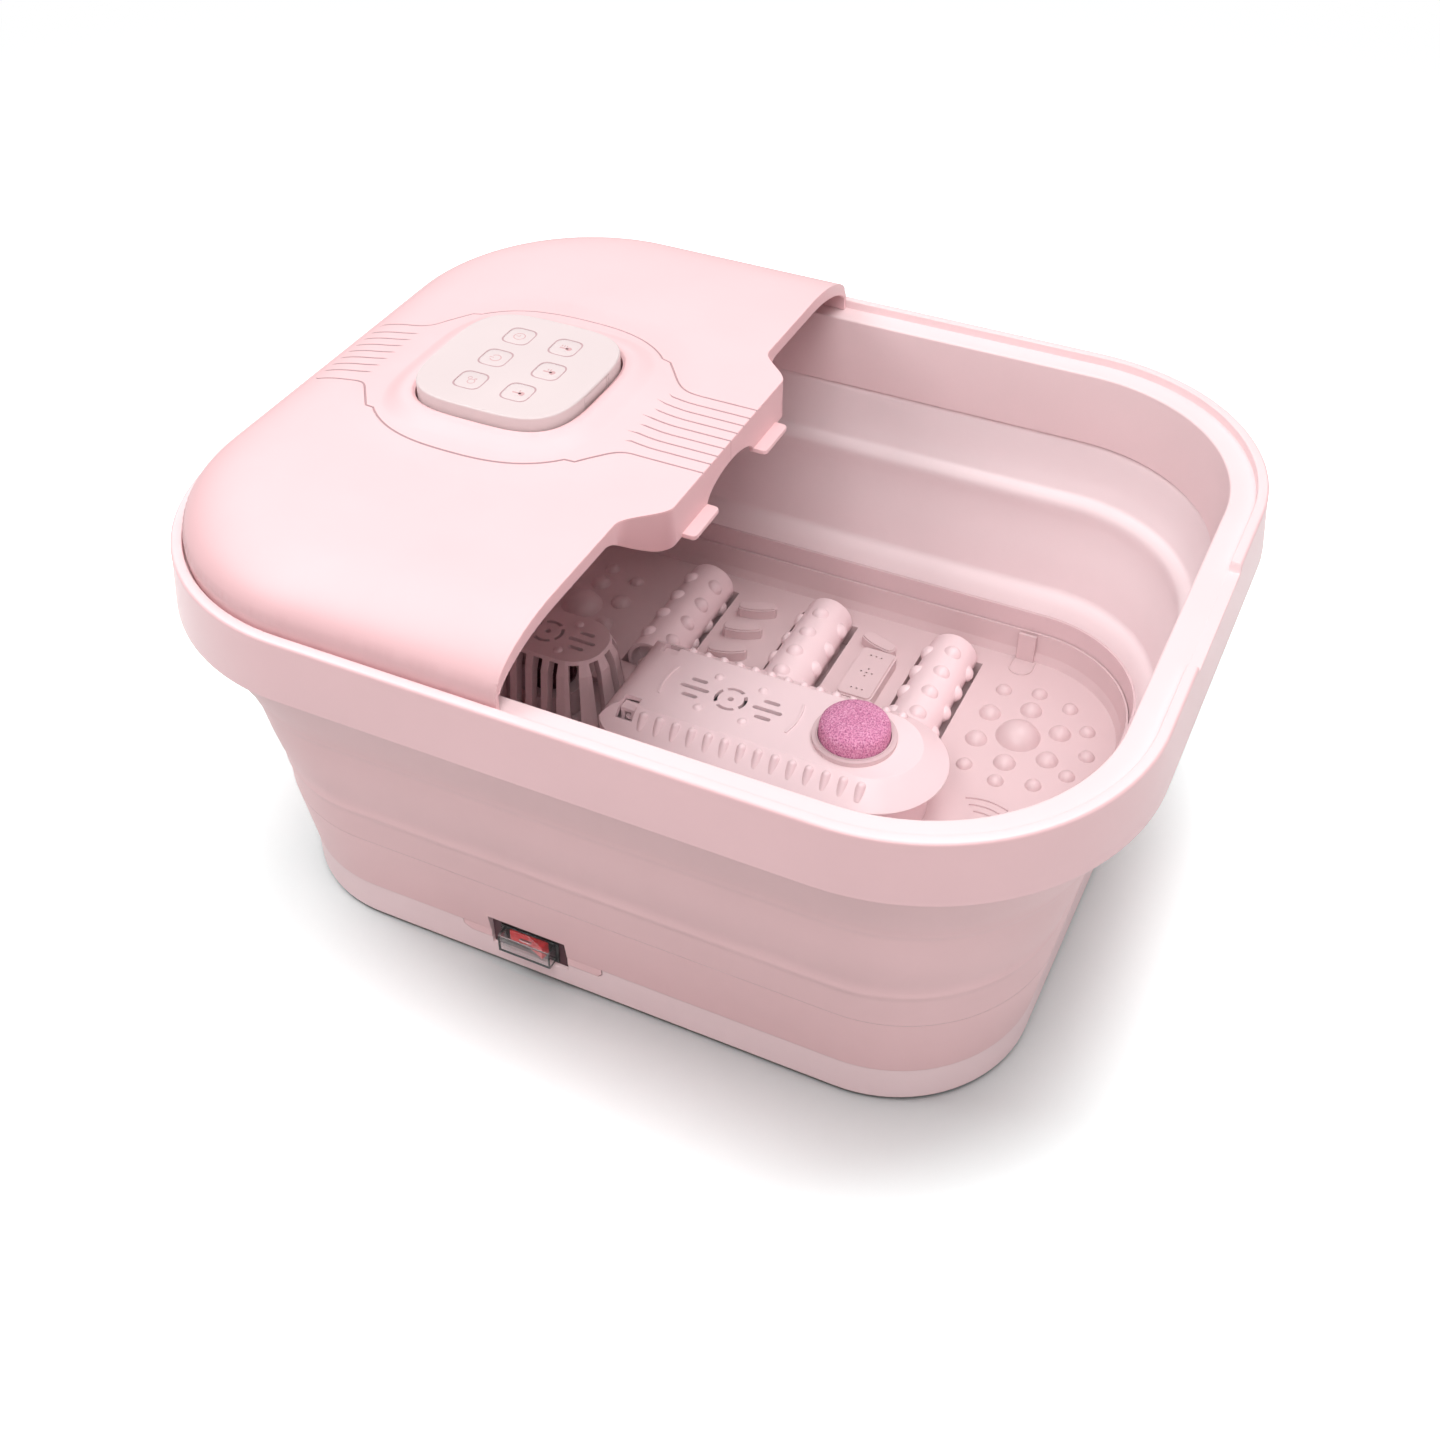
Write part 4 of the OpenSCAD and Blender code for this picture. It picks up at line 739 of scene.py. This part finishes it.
# %% Engraved lines
GROOVE_HALF, GROOVE_FLOOR, GROOVE_DEPTH = 0.5, 0.22, 0.45    # half widths at top and floor, and depth
TONGUE_PITCH, SHOULDER_PITCH, OUTLINE_Y = 6.7, 6.45, 27.5
SWELL_HALF = 62.5


def outline_line(side):
    """One outline: straight beside the fine lines, swelling round the pad, and straight again."""
    line = [(-4.0 * t, OUTLINE_Y * side) for t in range(8)]
    swell = smooth_line([(-30, OUTLINE_Y), (-36, 28.3), (-41, 31.5), (-46.5, 38.0), (-52.5, 45.6)], 5)
    line += [(x, y * side) for x, y in swell[1:]]
    around = [p for p in pad_square(SWELL_HALF, SWELL_HALF, CROWN_POWER, 240) if p[1] * side > 45.8]
    around.sort(key=lambda p: -p[0])
    line += around
    back = smooth_line([(-159.5, 45.6), (-165.5, 37.4), (-171, 30.4), (-176, 28.0), (-183, OUTLINE_Y)], 5)
    line += [(x, y * side) for x, y in back]
    line += [(-183 - 2.8 * t, OUTLINE_Y * side) for t in range(1, 8)]
    return line


# Fine lines to the tongue, fine ones over the left shoulder, and two outlines: each is a line and which
# of its ends meets the lid's free edge.
grooves = []
for k in range(-3, 4):
    grooves.append(([(-43.0 + t * 4.3, TONGUE_PITCH * k) for t in range(11)], "last"))
    grooves.append(([(-174.0 - t * 2.9, SHOULDER_PITCH * k) for t in range(11)], "neither"))
grooves += [(outline_line(1), "first"), (outline_line(-1), "first")]
print("engraved lines:", len(grooves))

# %% The lid's border
def lid_border():
    """The lid's rolled edge, then its free edge with a stop at each side of every groove."""
    side = [(LID_EDGE_X - (CORNER_X + LID_EDGE_X) * i / 40, CORNER_Y + LID_OUT) for i in range(41)]
    for i in range(1, 61):
        a = math.radians(90 + 90 * i / 60)
        side.append((-CORNER_X + LID_OUT * math.cos(a), CORNER_Y + LID_OUT * math.sin(a)))
    end = [(-CORNER_X - LID_OUT, CORNER_Y - 2 * CORNER_Y * i / 30) for i in range(1, 30)]
    rolled = side + end + [(x, -y) for x, y in reversed(side)]
    ys = [-(CORNER_Y + LID_OUT) + 4 * i for i in range(1, 24)]
    ys += [-ROOT_HALF + 1.1 * i for i in range(21)] + [-51.5 + 3.5 * i for i in range(7)]
    middles = [TONGUE_PITCH * k for k in range(-3, 4)] + [-OUTLINE_Y, OUTLINE_Y]
    ys += [y + part for y in middles for part in (-GROOVE_HALF, -GROOVE_FLOOR, GROOVE_FLOOR, GROOVE_HALF)]
    ys += [-y for y in ys if y < -30]
    return rolled, [(free_edge(y), y) for y in sorted(set(round(y, 3) for y in ys))]


round_edge, cut_edge = lid_border()
print("lid's border:", len(round_edge), "points rolled,", len(cut_edge), "cut")

# %% The lid's net
WELL_GAP, WELL_STEPS = 0.9, 120
WELL_RINGS = (WELL_GAP, 1.3, 1.8, 2.4, 3.2, 4.2, 5.5, 7.0, 8.5, 10.0, 11.5, 13.0, 14.5)


def groove_sides():
    """The two upper sides of every groove and the two of its floor: each a line and whether it is low."""
    sides = []
    for line, at_edge in grooves:
        for gap, low in ((-GROOVE_HALF, False), (-GROOVE_FLOOR, True), (GROOVE_FLOOR, True),
                         (GROOVE_HALF, False)):
            moved = beside(line, gap)
            side = [p for p in moved[1:-1] if p[0] < free_edge(p[1]) - 0.3]
            if at_edge != "neither":
                edge_y = moved[0 if at_edge == "first" else -1][1]
                meets = min(cut_edge, key=lambda p: abs(p[1] - edge_y))
                side = [meets] + side if at_edge == "first" else side + [meets]
            sides.append((side, low))
    return sides


def net_fill():
    """Points between the lines: rows down the rolled edge, and a staggered grid on the level part."""
    fill = []
    side_ys = [-CORNER_Y + 6.5 * i for i in range(1, 24)]
    for turn in range(4, 90, 5):
        off = ROLL_FROM + ROLL_WIDTH * math.sin(math.radians(turn))
        for cx, cy, nx, ny in places(extra_y=side_ys, arc_steps=34):
            x, y = cx + nx * off, cy + ny * off
            if x < free_edge(y) - 2.0:
                fill.append((x, y))
        for x in range(-112, -18, 5):
            fill += [(x, CORNER_Y + off), (x, -CORNER_Y - off)]
    for i in range(-30, 1):
        for j in range(-17, 18):
            x, y = i * 5.5 + (2.75 if j % 2 else 0), j * 7.2
            if outward(x, y) < ROLL_FROM and x < free_edge(y) - 2.5 and from_pad(x, y) > 17:
                fill.append((x, y))
    return fill


sides = groove_sides()
lines = [(side, False) for side, low in sides] + [(pad_outline(gap, WELL_STEPS), True) for gap in WELL_RINGS]
face_points, face_tris, numbers = net(round_edge + cut_edge, lines, net_fill())
well_loop = numbers[1 + len(sides)]
face_tris = [t for t in face_tris if from_pad(*middle_of(face_points, t)) > WELL_GAP - 0.02]
low_points = {i for (side, low), line in zip(sides, numbers[1:]) if low for i in line}
print("lid's net:", len(face_tris), "triangles")

# %% The lid's shell
LID_SKIN, LID_FOOT = 2.4, 192.7
# Both of these finishes are painted shade: the grooves' and the underside's.
GROOVE_SHADE_FACE, UNDERSIDE_SHADE_FACE = 1, 2    # which of the shell's finishes a face takes


def lid_shell():
    """The face, the underside that follows it, and the walls that join them."""
    count = len(face_points)
    verts = [(x, y, lid_height(x, y) - (GROOVE_DEPTH if i in low_points else 0.0))
             for i, (x, y) in enumerate(face_points)]
    for x, y in face_points:
        n = lid_normal(x, y)
        verts.append((x - n.x * LID_SKIN, y - n.y * LID_SKIN, lid_height(x, y) - n.z * LID_SKIN))
    faces = face_tris + [(c + count, b + count, a + count) for a, b, c in face_tris]
    loop = numbers[0]
    wall_top = loop[:len(round_edge)]
    base = len(verts)
    for i in wall_top:
        verts += [(verts[k][0], verts[k][1], LID_FOOT) for k in (i, i + count)]
    for k in range(len(wall_top) - 1):
        a, b = wall_top[k], wall_top[k + 1]
        p, q = base + 2 * k, base + 2 * k + 2
        faces += [(a, b, q, p), (a + count, p + 1, q + 1, b + count), (p, q, q + 1, p + 1)]
    for k, end in ((0, wall_top[0]), (len(wall_top) - 1, wall_top[-1])):
        p = base + 2 * k
        faces.append((end, p, p + 1, end + count))
    cut = loop[len(round_edge) - 1:] + [loop[0]]
    for a, b in zip(cut, cut[1:]):
        faces.append((a, b, b + count, a + count))
    for a, b in zip(well_loop, well_loop[1:] + well_loop[:1]):
        faces.append((b, a, a + count, b + count))
    thing = piece("lid_shell", verts, faces, LID_PINK, sharp=32)
    thing.data.materials.append(GROOVE_PAINTED_SHADE)
    thing.data.materials.append(UNDERSIDE_PAINTED_SHADE)
    return thing


def finish_faces(thing):
    """The engraved faces get a darker pink, painted shade in the grooves, and what looks down gets the
    darker pink painted as shade under the lid.
    """
    lowered = {(round(x, 2), round(y, 2)) for x, y in (face_points[i] for i in low_points)}
    for face in thing.data.polygons:
        corners = [thing.data.vertices[v].co / MM for v in face.vertices]
        # Faces that look down take the underside's painted shade.
        if face.normal.z < -0.8:
            face.material_index = UNDERSIDE_SHADE_FACE
        # Faces that touch a groove's floor take the groove's painted shade.
        elif any((round(p.x, 2), round(p.y, 2)) in lowered for p in corners):
            face.material_index = GROOVE_SHADE_FACE


def normals_from_height(thing):
    """Shades the face by its own slope, so that the net's triangles don't show in the gloss."""
    mesh = thing.data
    places_mm = [v.co / MM for v in mesh.vertices]
    on_face = [abs(p.z - lid_height(p.x, p.y)) < 0.02 for p in places_mm]
    normals = []
    for face in mesh.polygons:
        smooth = all(on_face[v] for v in face.vertices) and face.normal.z > 0.02
        for v in face.vertices:
            normals.append(lid_normal(places_mm[v].x, places_mm[v].y) if smooth else (0, 0, 0))
    mesh.normals_split_custom_set(normals)


shell = lid_shell()
finish_faces(shell)
normals_from_height(shell)
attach(shell, "lid")
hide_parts("lid")
print("lid shell:", len(shell.data.polygons), "faces")

# %% Tongue skirt
TAB_IN, TAB_OUT, TAB_LOW, ARCH_RISE = 24.0, 48.5, 198.0, 9.5
FULL_TO, LIP_FROM, LIP_DEPTH = 60.0, 86.0, 6.8    # where the skirt has its full depth and its low lip
SKIRT_AHEAD, SKIRT_T = 0.12, 1.9                  # in front of and behind the shell's cut edge
SKIRT_UNDER, SKIRT_BEVEL = 0.5, 0.5


def skirt_foot(y):
    """How low the skirt reaches: an arch in the middle, full depth at the tabs, a low lip past the roots."""
    y = abs(y)
    if y < TAB_IN:
        return TAB_LOW + ARCH_RISE * math.sqrt(1 - (y / TAB_IN) ** 2)
    top = lid_height(free_edge(y), y)
    full = ease((LIP_FROM - y) / (LIP_FROM - FULL_TO))
    return max(LID_FOOT, (top - LIP_DEPTH) * (1 - full) + TAB_LOW * full)


def tongue_skirt():
    """The wall that hangs from the free edge, from rim to rim."""
    ys = [-171.5 + 1.75 * i for i in range(49)] + [-85 + i for i in range(171)]
    ys += [-y for y in ys if y < -86]
    ys += [s * y for s in (-1, 1) for y in (TAB_IN - 0.6, TAB_IN - 0.1, TAB_IN)]
    ys = sorted(set(ys))
    verts, faces = [], []
    for y in ys:
        top = lid_height(free_edge(y), y) - SKIRT_UNDER
        low = min(skirt_foot(y), top - SKIRT_BEVEL)
        for depth, z in ((-SKIRT_AHEAD, top), (-SKIRT_AHEAD, low + SKIRT_BEVEL), (0.3, low), (1.5, low),
                         (SKIRT_T, low + SKIRT_BEVEL), (SKIRT_T, top)):
            verts.append((free_edge(y) - depth, y, z))
    for i in range(len(ys) - 1):
        a, b = 6 * i, 6 * i + 6
        faces += [(a + k, a + (k + 1) % 6, b + (k + 1) % 6, b + k) for k in range(6)]
    last = 6 * (len(ys) - 1)
    faces += [tuple(range(6)), tuple(range(last + 5, last - 1, -1))]
    return piece("tongue_skirt", verts, faces, LID_PINK, sharp=40)


skirt = tongue_skirt()
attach(skirt, "lid")
print("skirt:", len(skirt.data.polygons), "faces")

# %% Tabs
TAB_T, TAB_ROUND = 2.0, 2.6
TAB_ROOT, TAB_REACH = -1.5, 6.4    # along X: where a tab starts, inside the skirt, and where it ends


def plate(name, outline, low, high, finish, fillet):
    """A flat plate with its top edge rounded: outline is (x, y) points, counterclockwise."""
    turns = [math.radians(30 * k) for k in range(4)]
    levels = [(fillet * (1 - math.cos(a)), high - fillet + fillet * math.sin(a)) for a in turns]
    levels.insert(0, (0.0, low))
    verts, faces = [], []
    n = len(outline)
    for inset, z in levels:
        verts += [(x, y, z) for x, y in beside(outline, inset, closed=True)]
    for k in range(len(levels) - 1):
        for i in range(n):
            j = (i + 1) % n
            faces.append((k * n + i, k * n + j, (k + 1) * n + j, (k + 1) * n + i))
    faces.append(tuple(range(n - 1, -1, -1)))
    faces.append(tuple(range((len(levels) - 1) * n, len(levels) * n)))
    return piece(name, verts, faces, finish)


far_tab = rounded([(TAB_ROOT, TAB_IN, 0), (TAB_REACH, TAB_IN, TAB_ROUND), (TAB_REACH, TAB_OUT, TAB_ROUND),
                   (TAB_ROOT, TAB_OUT, 0)])
near_tab = [(x, -y) for x, y in reversed(far_tab)]
for name, outline in (("lid_tab_far", far_tab), ("lid_tab_near", near_tab)):
    tab = plate(name, outline, TAB_LOW, TAB_LOW + TAB_T, LID_PINK, 0.5)
    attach(tab, "lid")
    print(name + ":", len(tab.data.polygons), "faces")

# %% Cradle of the pad
CRADLE_FLOOR, CRADLE_WALL = 214.7, 2.2


def pad_cradle():
    """The cup under the pad: it hangs from the lid's face and the pad drops into it."""
    inner = pad_outline(WELL_GAP, WELL_STEPS)
    outer = pad_outline(WELL_GAP + CRADLE_WALL, WELL_STEPS)
    n = len(inner)
    under = [lid_height(x, y) - LID_SKIN * 0.6 for x, y in outer]
    foot = CRADLE_FLOOR - CRADLE_WALL
    verts = [(x, y, lid_height(x, y) - 0.3) for x, y in inner]
    verts += [(x, y, CRADLE_FLOOR) for x, y in inner] + [(PAD_X, 0.0, CRADLE_FLOOR)]
    low = len(verts)
    verts += [(x, y, z) for (x, y), z in zip(outer, under)]
    verts += [(x, y, foot) for x, y in outer] + [(PAD_X, 0.0, foot)]
    faces = []
    for i in range(n):
        j = (i + 1) % n
        faces += [(i, j, n + j, n + i), (n + i, n + j, 2 * n), (i, low + i, low + j, j),
                  (low + j, low + i, low + n + i, low + n + j), (low + n + j, low + n + i, low + 2 * n)]
    return piece("pad_cradle", verts, faces, LID_PINK, sharp=40)


cradle = pad_cradle()
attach(cradle, "lid")
print("cradle:", len(cradle.data.polygons), "faces")

# %% [markdown]
# ## Control pad
# The pad lifts out of the lid. A real one is two snapped shells with six key caps that lie flush in the
# face, each in its own thin gap, and a battery drawer in the side. The gaps are what the eye reads as key
# outlines. A drawn line alone would stay flat when a key is pressed, so each gap is cut through the shell,
# and a fine line of deeper pink, painted shade for the gap, is laid over it, because so thin a gap is lost
# at a distance. The signs are thin prints, and the pad carries no name.

# %% Pad shell
PAD_TOP, PAD_LOW, SHELL_T = 229.95, 221.45, 1.8
PAD_ROUND, PAD_FACE = 0.9, 1.5    # the top edge's radius, and where the flat face starts
DRAWER_HALF, DRAWER_TOP, SEAM = 11.2, 228.6, 0.22
KEY_HALF_X, KEY_HALF_Y, KEY_ROUND, KEY_GAP = 6.5, 6.75, 4.6, 0.3
KEY_PLACES = {
    "key_timer": (-118.3, 21.3), "key_power": (-118.3, 0.0), "key_bubbles": (-118.3, -21.3),
    "key_heat_high": (-94.0, 21.3), "key_heat_mid": (-90.5, 0.0), "key_heat_low": (-94.0, -21.3),
}


def key_outline(place, grow=0.0):
    """A key's outline: a small rounded rectangle."""
    w, h = KEY_HALF_X + grow, KEY_HALF_Y + grow
    corners = [(w, -h, KEY_ROUND), (w, h, KEY_ROUND), (-w, h, KEY_ROUND), (-w, -h, KEY_ROUND)]
    return [(place[0] + x, place[1] + y) for x, y in rounded(corners, 7)]


def within(point, loop):
    """Whether a point lies in a closed outline."""
    x, y = point
    odd = False
    for (x1, y1), (x2, y2) in zip(loop, loop[1:] + loop[:1]):
        if (y1 > y) != (y2 > y) and x < (x2 - x1) * (y - y1) / (y2 - y1) + x1:
            odd = not odd
    return odd


def drawer_side_x(y):
    """Where the pad's side with the drawer lies along X."""
    return PAD_X + PAD_HALF_X * (1 - (abs(y) / PAD_HALF_Y) ** PAD_POWER) ** (1 / PAD_POWER)


def pad_side():
    """The pad's outline with stops at the two sides of the drawer's notch, and which stops lie in it."""
    reach = DRAWER_HALF + SEAM
    line = [p for p in pad_outline(0.0, 180) if p[0] < PAD_X or abs(abs(p[1]) - reach) > 0.3]
    line += [(drawer_side_x(reach), reach), (drawer_side_x(reach), -reach)]
    line.sort(key=lambda p: math.atan2(p[1], p[0] - PAD_X))
    return line, [p[0] > PAD_X and abs(p[1]) < reach + 0.001 for p in line]


def pad_shell():
    """The upper shell: rounded top edge, six key holes and a notch for the battery drawer."""
    line, in_notch = pad_side()
    n = len(line)
    inner = beside(line, SHELL_T, closed=True)
    face_edge = beside(line, PAD_FACE, closed=True)
    ceiling, shoulder, notch_top = PAD_TOP - SHELL_T, PAD_TOP - PAD_ROUND, DRAWER_TOP + SEAM
    turns = [math.radians(18 * k) for k in range(6)]
    rings = [(PAD_ROUND - PAD_ROUND * math.cos(a), shoulder + PAD_ROUND * math.sin(a)) for a in turns]
    rings.append((PAD_FACE, PAD_TOP))
    verts, faces = [], []
    for inset, z in rings:
        verts += [(x, y, z) for x, y in beside(line, inset, closed=True)]
    for k in range(len(rings) - 1):
        for i in range(n):
            j = (i + 1) % n
            faces.append((k * n + i, k * n + j, k * n + n + j, k * n + n + i))

    def quad(*corners):
        base = len(verts)
        verts.extend(corners)
        faces.append(tuple(range(base, base + len(corners))))

    for i in range(n):
        j = (i + 1) % n
        low = notch_top if in_notch[i] and in_notch[j] else PAD_LOW
        a, b, c, d = line[i], line[j], inner[j], inner[i]
        quad((*a, low), (*b, low), (*b, shoulder), (*a, shoulder))
        quad((*d, low), (*d, ceiling), (*c, ceiling), (*c, low))
        quad((*a, low), (*d, low), (*c, low), (*b, low))
        if in_notch[i] and not (in_notch[i - 1] and in_notch[j]):
            quad((*a, PAD_LOW), (*a, notch_top), (*d, notch_top), (*d, PAD_LOW))
    holes = [key_outline(place, KEY_GAP) for place in KEY_PLACES.values()]
    for border, z, turn in ((face_edge, PAD_TOP, 1), (inner, ceiling, -1)):
        points, tris, _ = net(border, [(hole, True) for hole in holes], [])
        base = len(verts)
        verts += [(x, y, z) for x, y in points]
        for t in tris:
            if not any(within(middle_of(points, t), hole) for hole in holes):
                faces.append(tuple(base + i for i in t[::turn]))
    for hole in holes:
        for a, b in zip(hole, hole[1:] + hole[:1]):
            quad((*a, PAD_TOP), (*b, PAD_TOP), (*b, ceiling), (*a, ceiling))
    return piece("pad_shell", verts, faces, PAD_PINK, sharp=38)


pad = pad_shell()
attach(pad, "pad")
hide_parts("pad_top_shell")
print("pad shell:", len(pad.data.polygons), "faces")

# %% Key outlines
LINE_IN, LINE_OUT, LINE_SUNK, LINE_UP = -0.1, 0.5, 0.01, 0.02    # from the key's outline and the face


def key_gap_shade_lines():
    """A fine line of painted shade over each key's gap, on the pad's face."""
    section = ((LINE_IN, -LINE_SUNK), (LINE_IN, LINE_UP), (LINE_OUT, LINE_UP), (LINE_OUT, -LINE_SUNK))
    verts, faces = [], []
    for place in KEY_PLACES.values():
        base, n = len(verts), len(key_outline(place))
        for grow, rise in section:
            verts += [(x, y, PAD_TOP + rise) for x, y in key_outline(place, grow)]
        for k in range(4):
            for i in range(n):
                j = (i + 1) % n
                a, b = base + k * n, base + (k + 1) % 4 * n
                faces.append((a + i, a + j, b + j, b + i))
    # The line takes the groove's darker pink: painted shade.
    return piece("key_gap_shade_lines", verts, faces, GROOVE_PAINTED_SHADE, sharp=30)


rings = key_gap_shade_lines()
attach(rings, "pad")
print("key rings:", len(rings.data.polygons), "faces")

# %% Battery drawer's front
DRAWER_LOW, DRAWER_T = 221.6, 2.4
CATCH_Y, CATCH_DIP = 9.0, 0.35    # the seam of the catch, and how deep it is


def drawer_front():
    """The front of the battery drawer: it follows the pad's side, with a narrow catch at one end."""
    ys = [-DRAWER_HALF + i * DRAWER_HALF / 8 for i in range(17)]
    ys = sorted(ys + [CATCH_Y + part for part in (-0.22, -0.12, 0.12, 0.22)])
    verts, faces = [], []
    for y in ys:
        dip = CATCH_DIP if abs(y - CATCH_Y) < 0.15 else 0.0
        x = drawer_side_x(y) - 0.05 - dip
        verts += [(px, y, pz) for px, pz in rounded(
            [(x, DRAWER_LOW, 0.3), (x, DRAWER_TOP, 0.3), (x - DRAWER_T, DRAWER_TOP, 0),
             (x - DRAWER_T, DRAWER_LOW, 0)], 2)]
    m = len(verts) // len(ys)
    for i in range(len(ys) - 1):
        for k in range(m):
            faces.append((i * m + k, i * m + (k + 1) % m, (i + 1) * m + (k + 1) % m, (i + 1) * m + k))
    faces += [tuple(range(m)), tuple(range((len(ys) - 1) * m, len(ys) * m))]
    return piece("drawer_front", verts, faces, PAD_PINK)


drawer = drawer_front()
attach(drawer, "battery_drawer")
print("drawer front:", len(drawer.data.polygons), "faces")

# %% Key caps
KEY_TOP, KEY_LOW = 229.92, 226.6
for name, place in KEY_PLACES.items():
    cap = plate(name + "_cap", key_outline(place), KEY_LOW, KEY_TOP, PAD_PINK, 0.25)
    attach(cap, name)
    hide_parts(name)
print("key caps:", len(KEY_PLACES))

# %% Printed signs
INK_SUNK, INK_UP = 0.01, 0.025


def sign(name, strips):
    """A thin print on a key: every strip is a list of (inner point, outer point) pairs.

    The signs are read from the open end of the basin, so their upright is -X and their right is +Y.
    """
    cx, cy = KEY_PLACES[name]
    verts, faces = [], []
    for strip in strips:
        base = len(verts)
        for pair in strip:
            for right, up in pair:
                verts += [(cx - up, cy + right, KEY_TOP - INK_SUNK), (cx - up, cy + right, KEY_TOP + INK_UP)]
        for i in range(len(strip) - 1):
            a = base + 4 * i
            faces += [(a + 1, a + 3, a + 7, a + 5), (a, a + 4, a + 6, a + 2),
                      (a, a + 1, a + 5, a + 4), (a + 2, a + 6, a + 7, a + 3)]
    thing = piece(name + "_sign", verts, faces, PRINT_INK, sharp=30)
    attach(thing, name)
    return thing


def arc(radius, width, start=0, end=360, right=0.0, up=0.0):
    """An arc as a strip; angles run from the upright, clockwise."""
    strip = []
    steps = 28
    for i in range(steps + 1):
        a = math.radians(start + (end - start) * i / steps)
        s, c = math.sin(a), math.cos(a)
        strip.append(((right + (radius - width / 2) * s, up + (radius - width / 2) * c),
                      (right + (radius + width / 2) * s, up + (radius + width / 2) * c)))
    return strip


def bar(r0, u0, r1, u1, width):
    """A straight stroke as a strip."""
    along = Vector((r1 - r0, u1 - u0)).normalized() * width / 2
    return [((r0 - along.y, u0 + along.x), (r0 + along.y, u0 - along.x)),
            ((r1 - along.y, u1 + along.x), (r1 + along.y, u1 - along.x))]


def thermometer(ticks):
    """A bulb, a tube, and as many marks as the heat step."""
    strips = [arc(0.75, 1.5, right=-0.5, up=-2.0), bar(-0.5, -1.8, -0.5, 2.6, 0.9)]
    return strips + [bar(0.6, -0.4 + 1.3 * i, 1.9, -0.4 + 1.3 * i, 0.5) for i in range(ticks)]


signs = [
    sign("key_timer", [arc(2.7, 0.45), bar(0, 0, 0, 1.7, 0.4), bar(0, 0, 1.2, 0, 0.4)]),
    sign("key_power", [arc(2.5, 0.5, 35, 325), bar(0, 1.0, 0, 3.2, 0.5)]),
    sign("key_bubbles", [arc(1.7, 0.4, right=-0.9, up=-0.6), arc(0.9, 0.35, right=1.6, up=1.3),
                         arc(0.5, 0.3, right=1.5, up=-1.6)]),
    sign("key_heat_high", thermometer(3)),
    sign("key_heat_mid", thermometer(2)),
    sign("key_heat_low", thermometer(1)),
]
print("signs:", [thing.name for thing in signs])
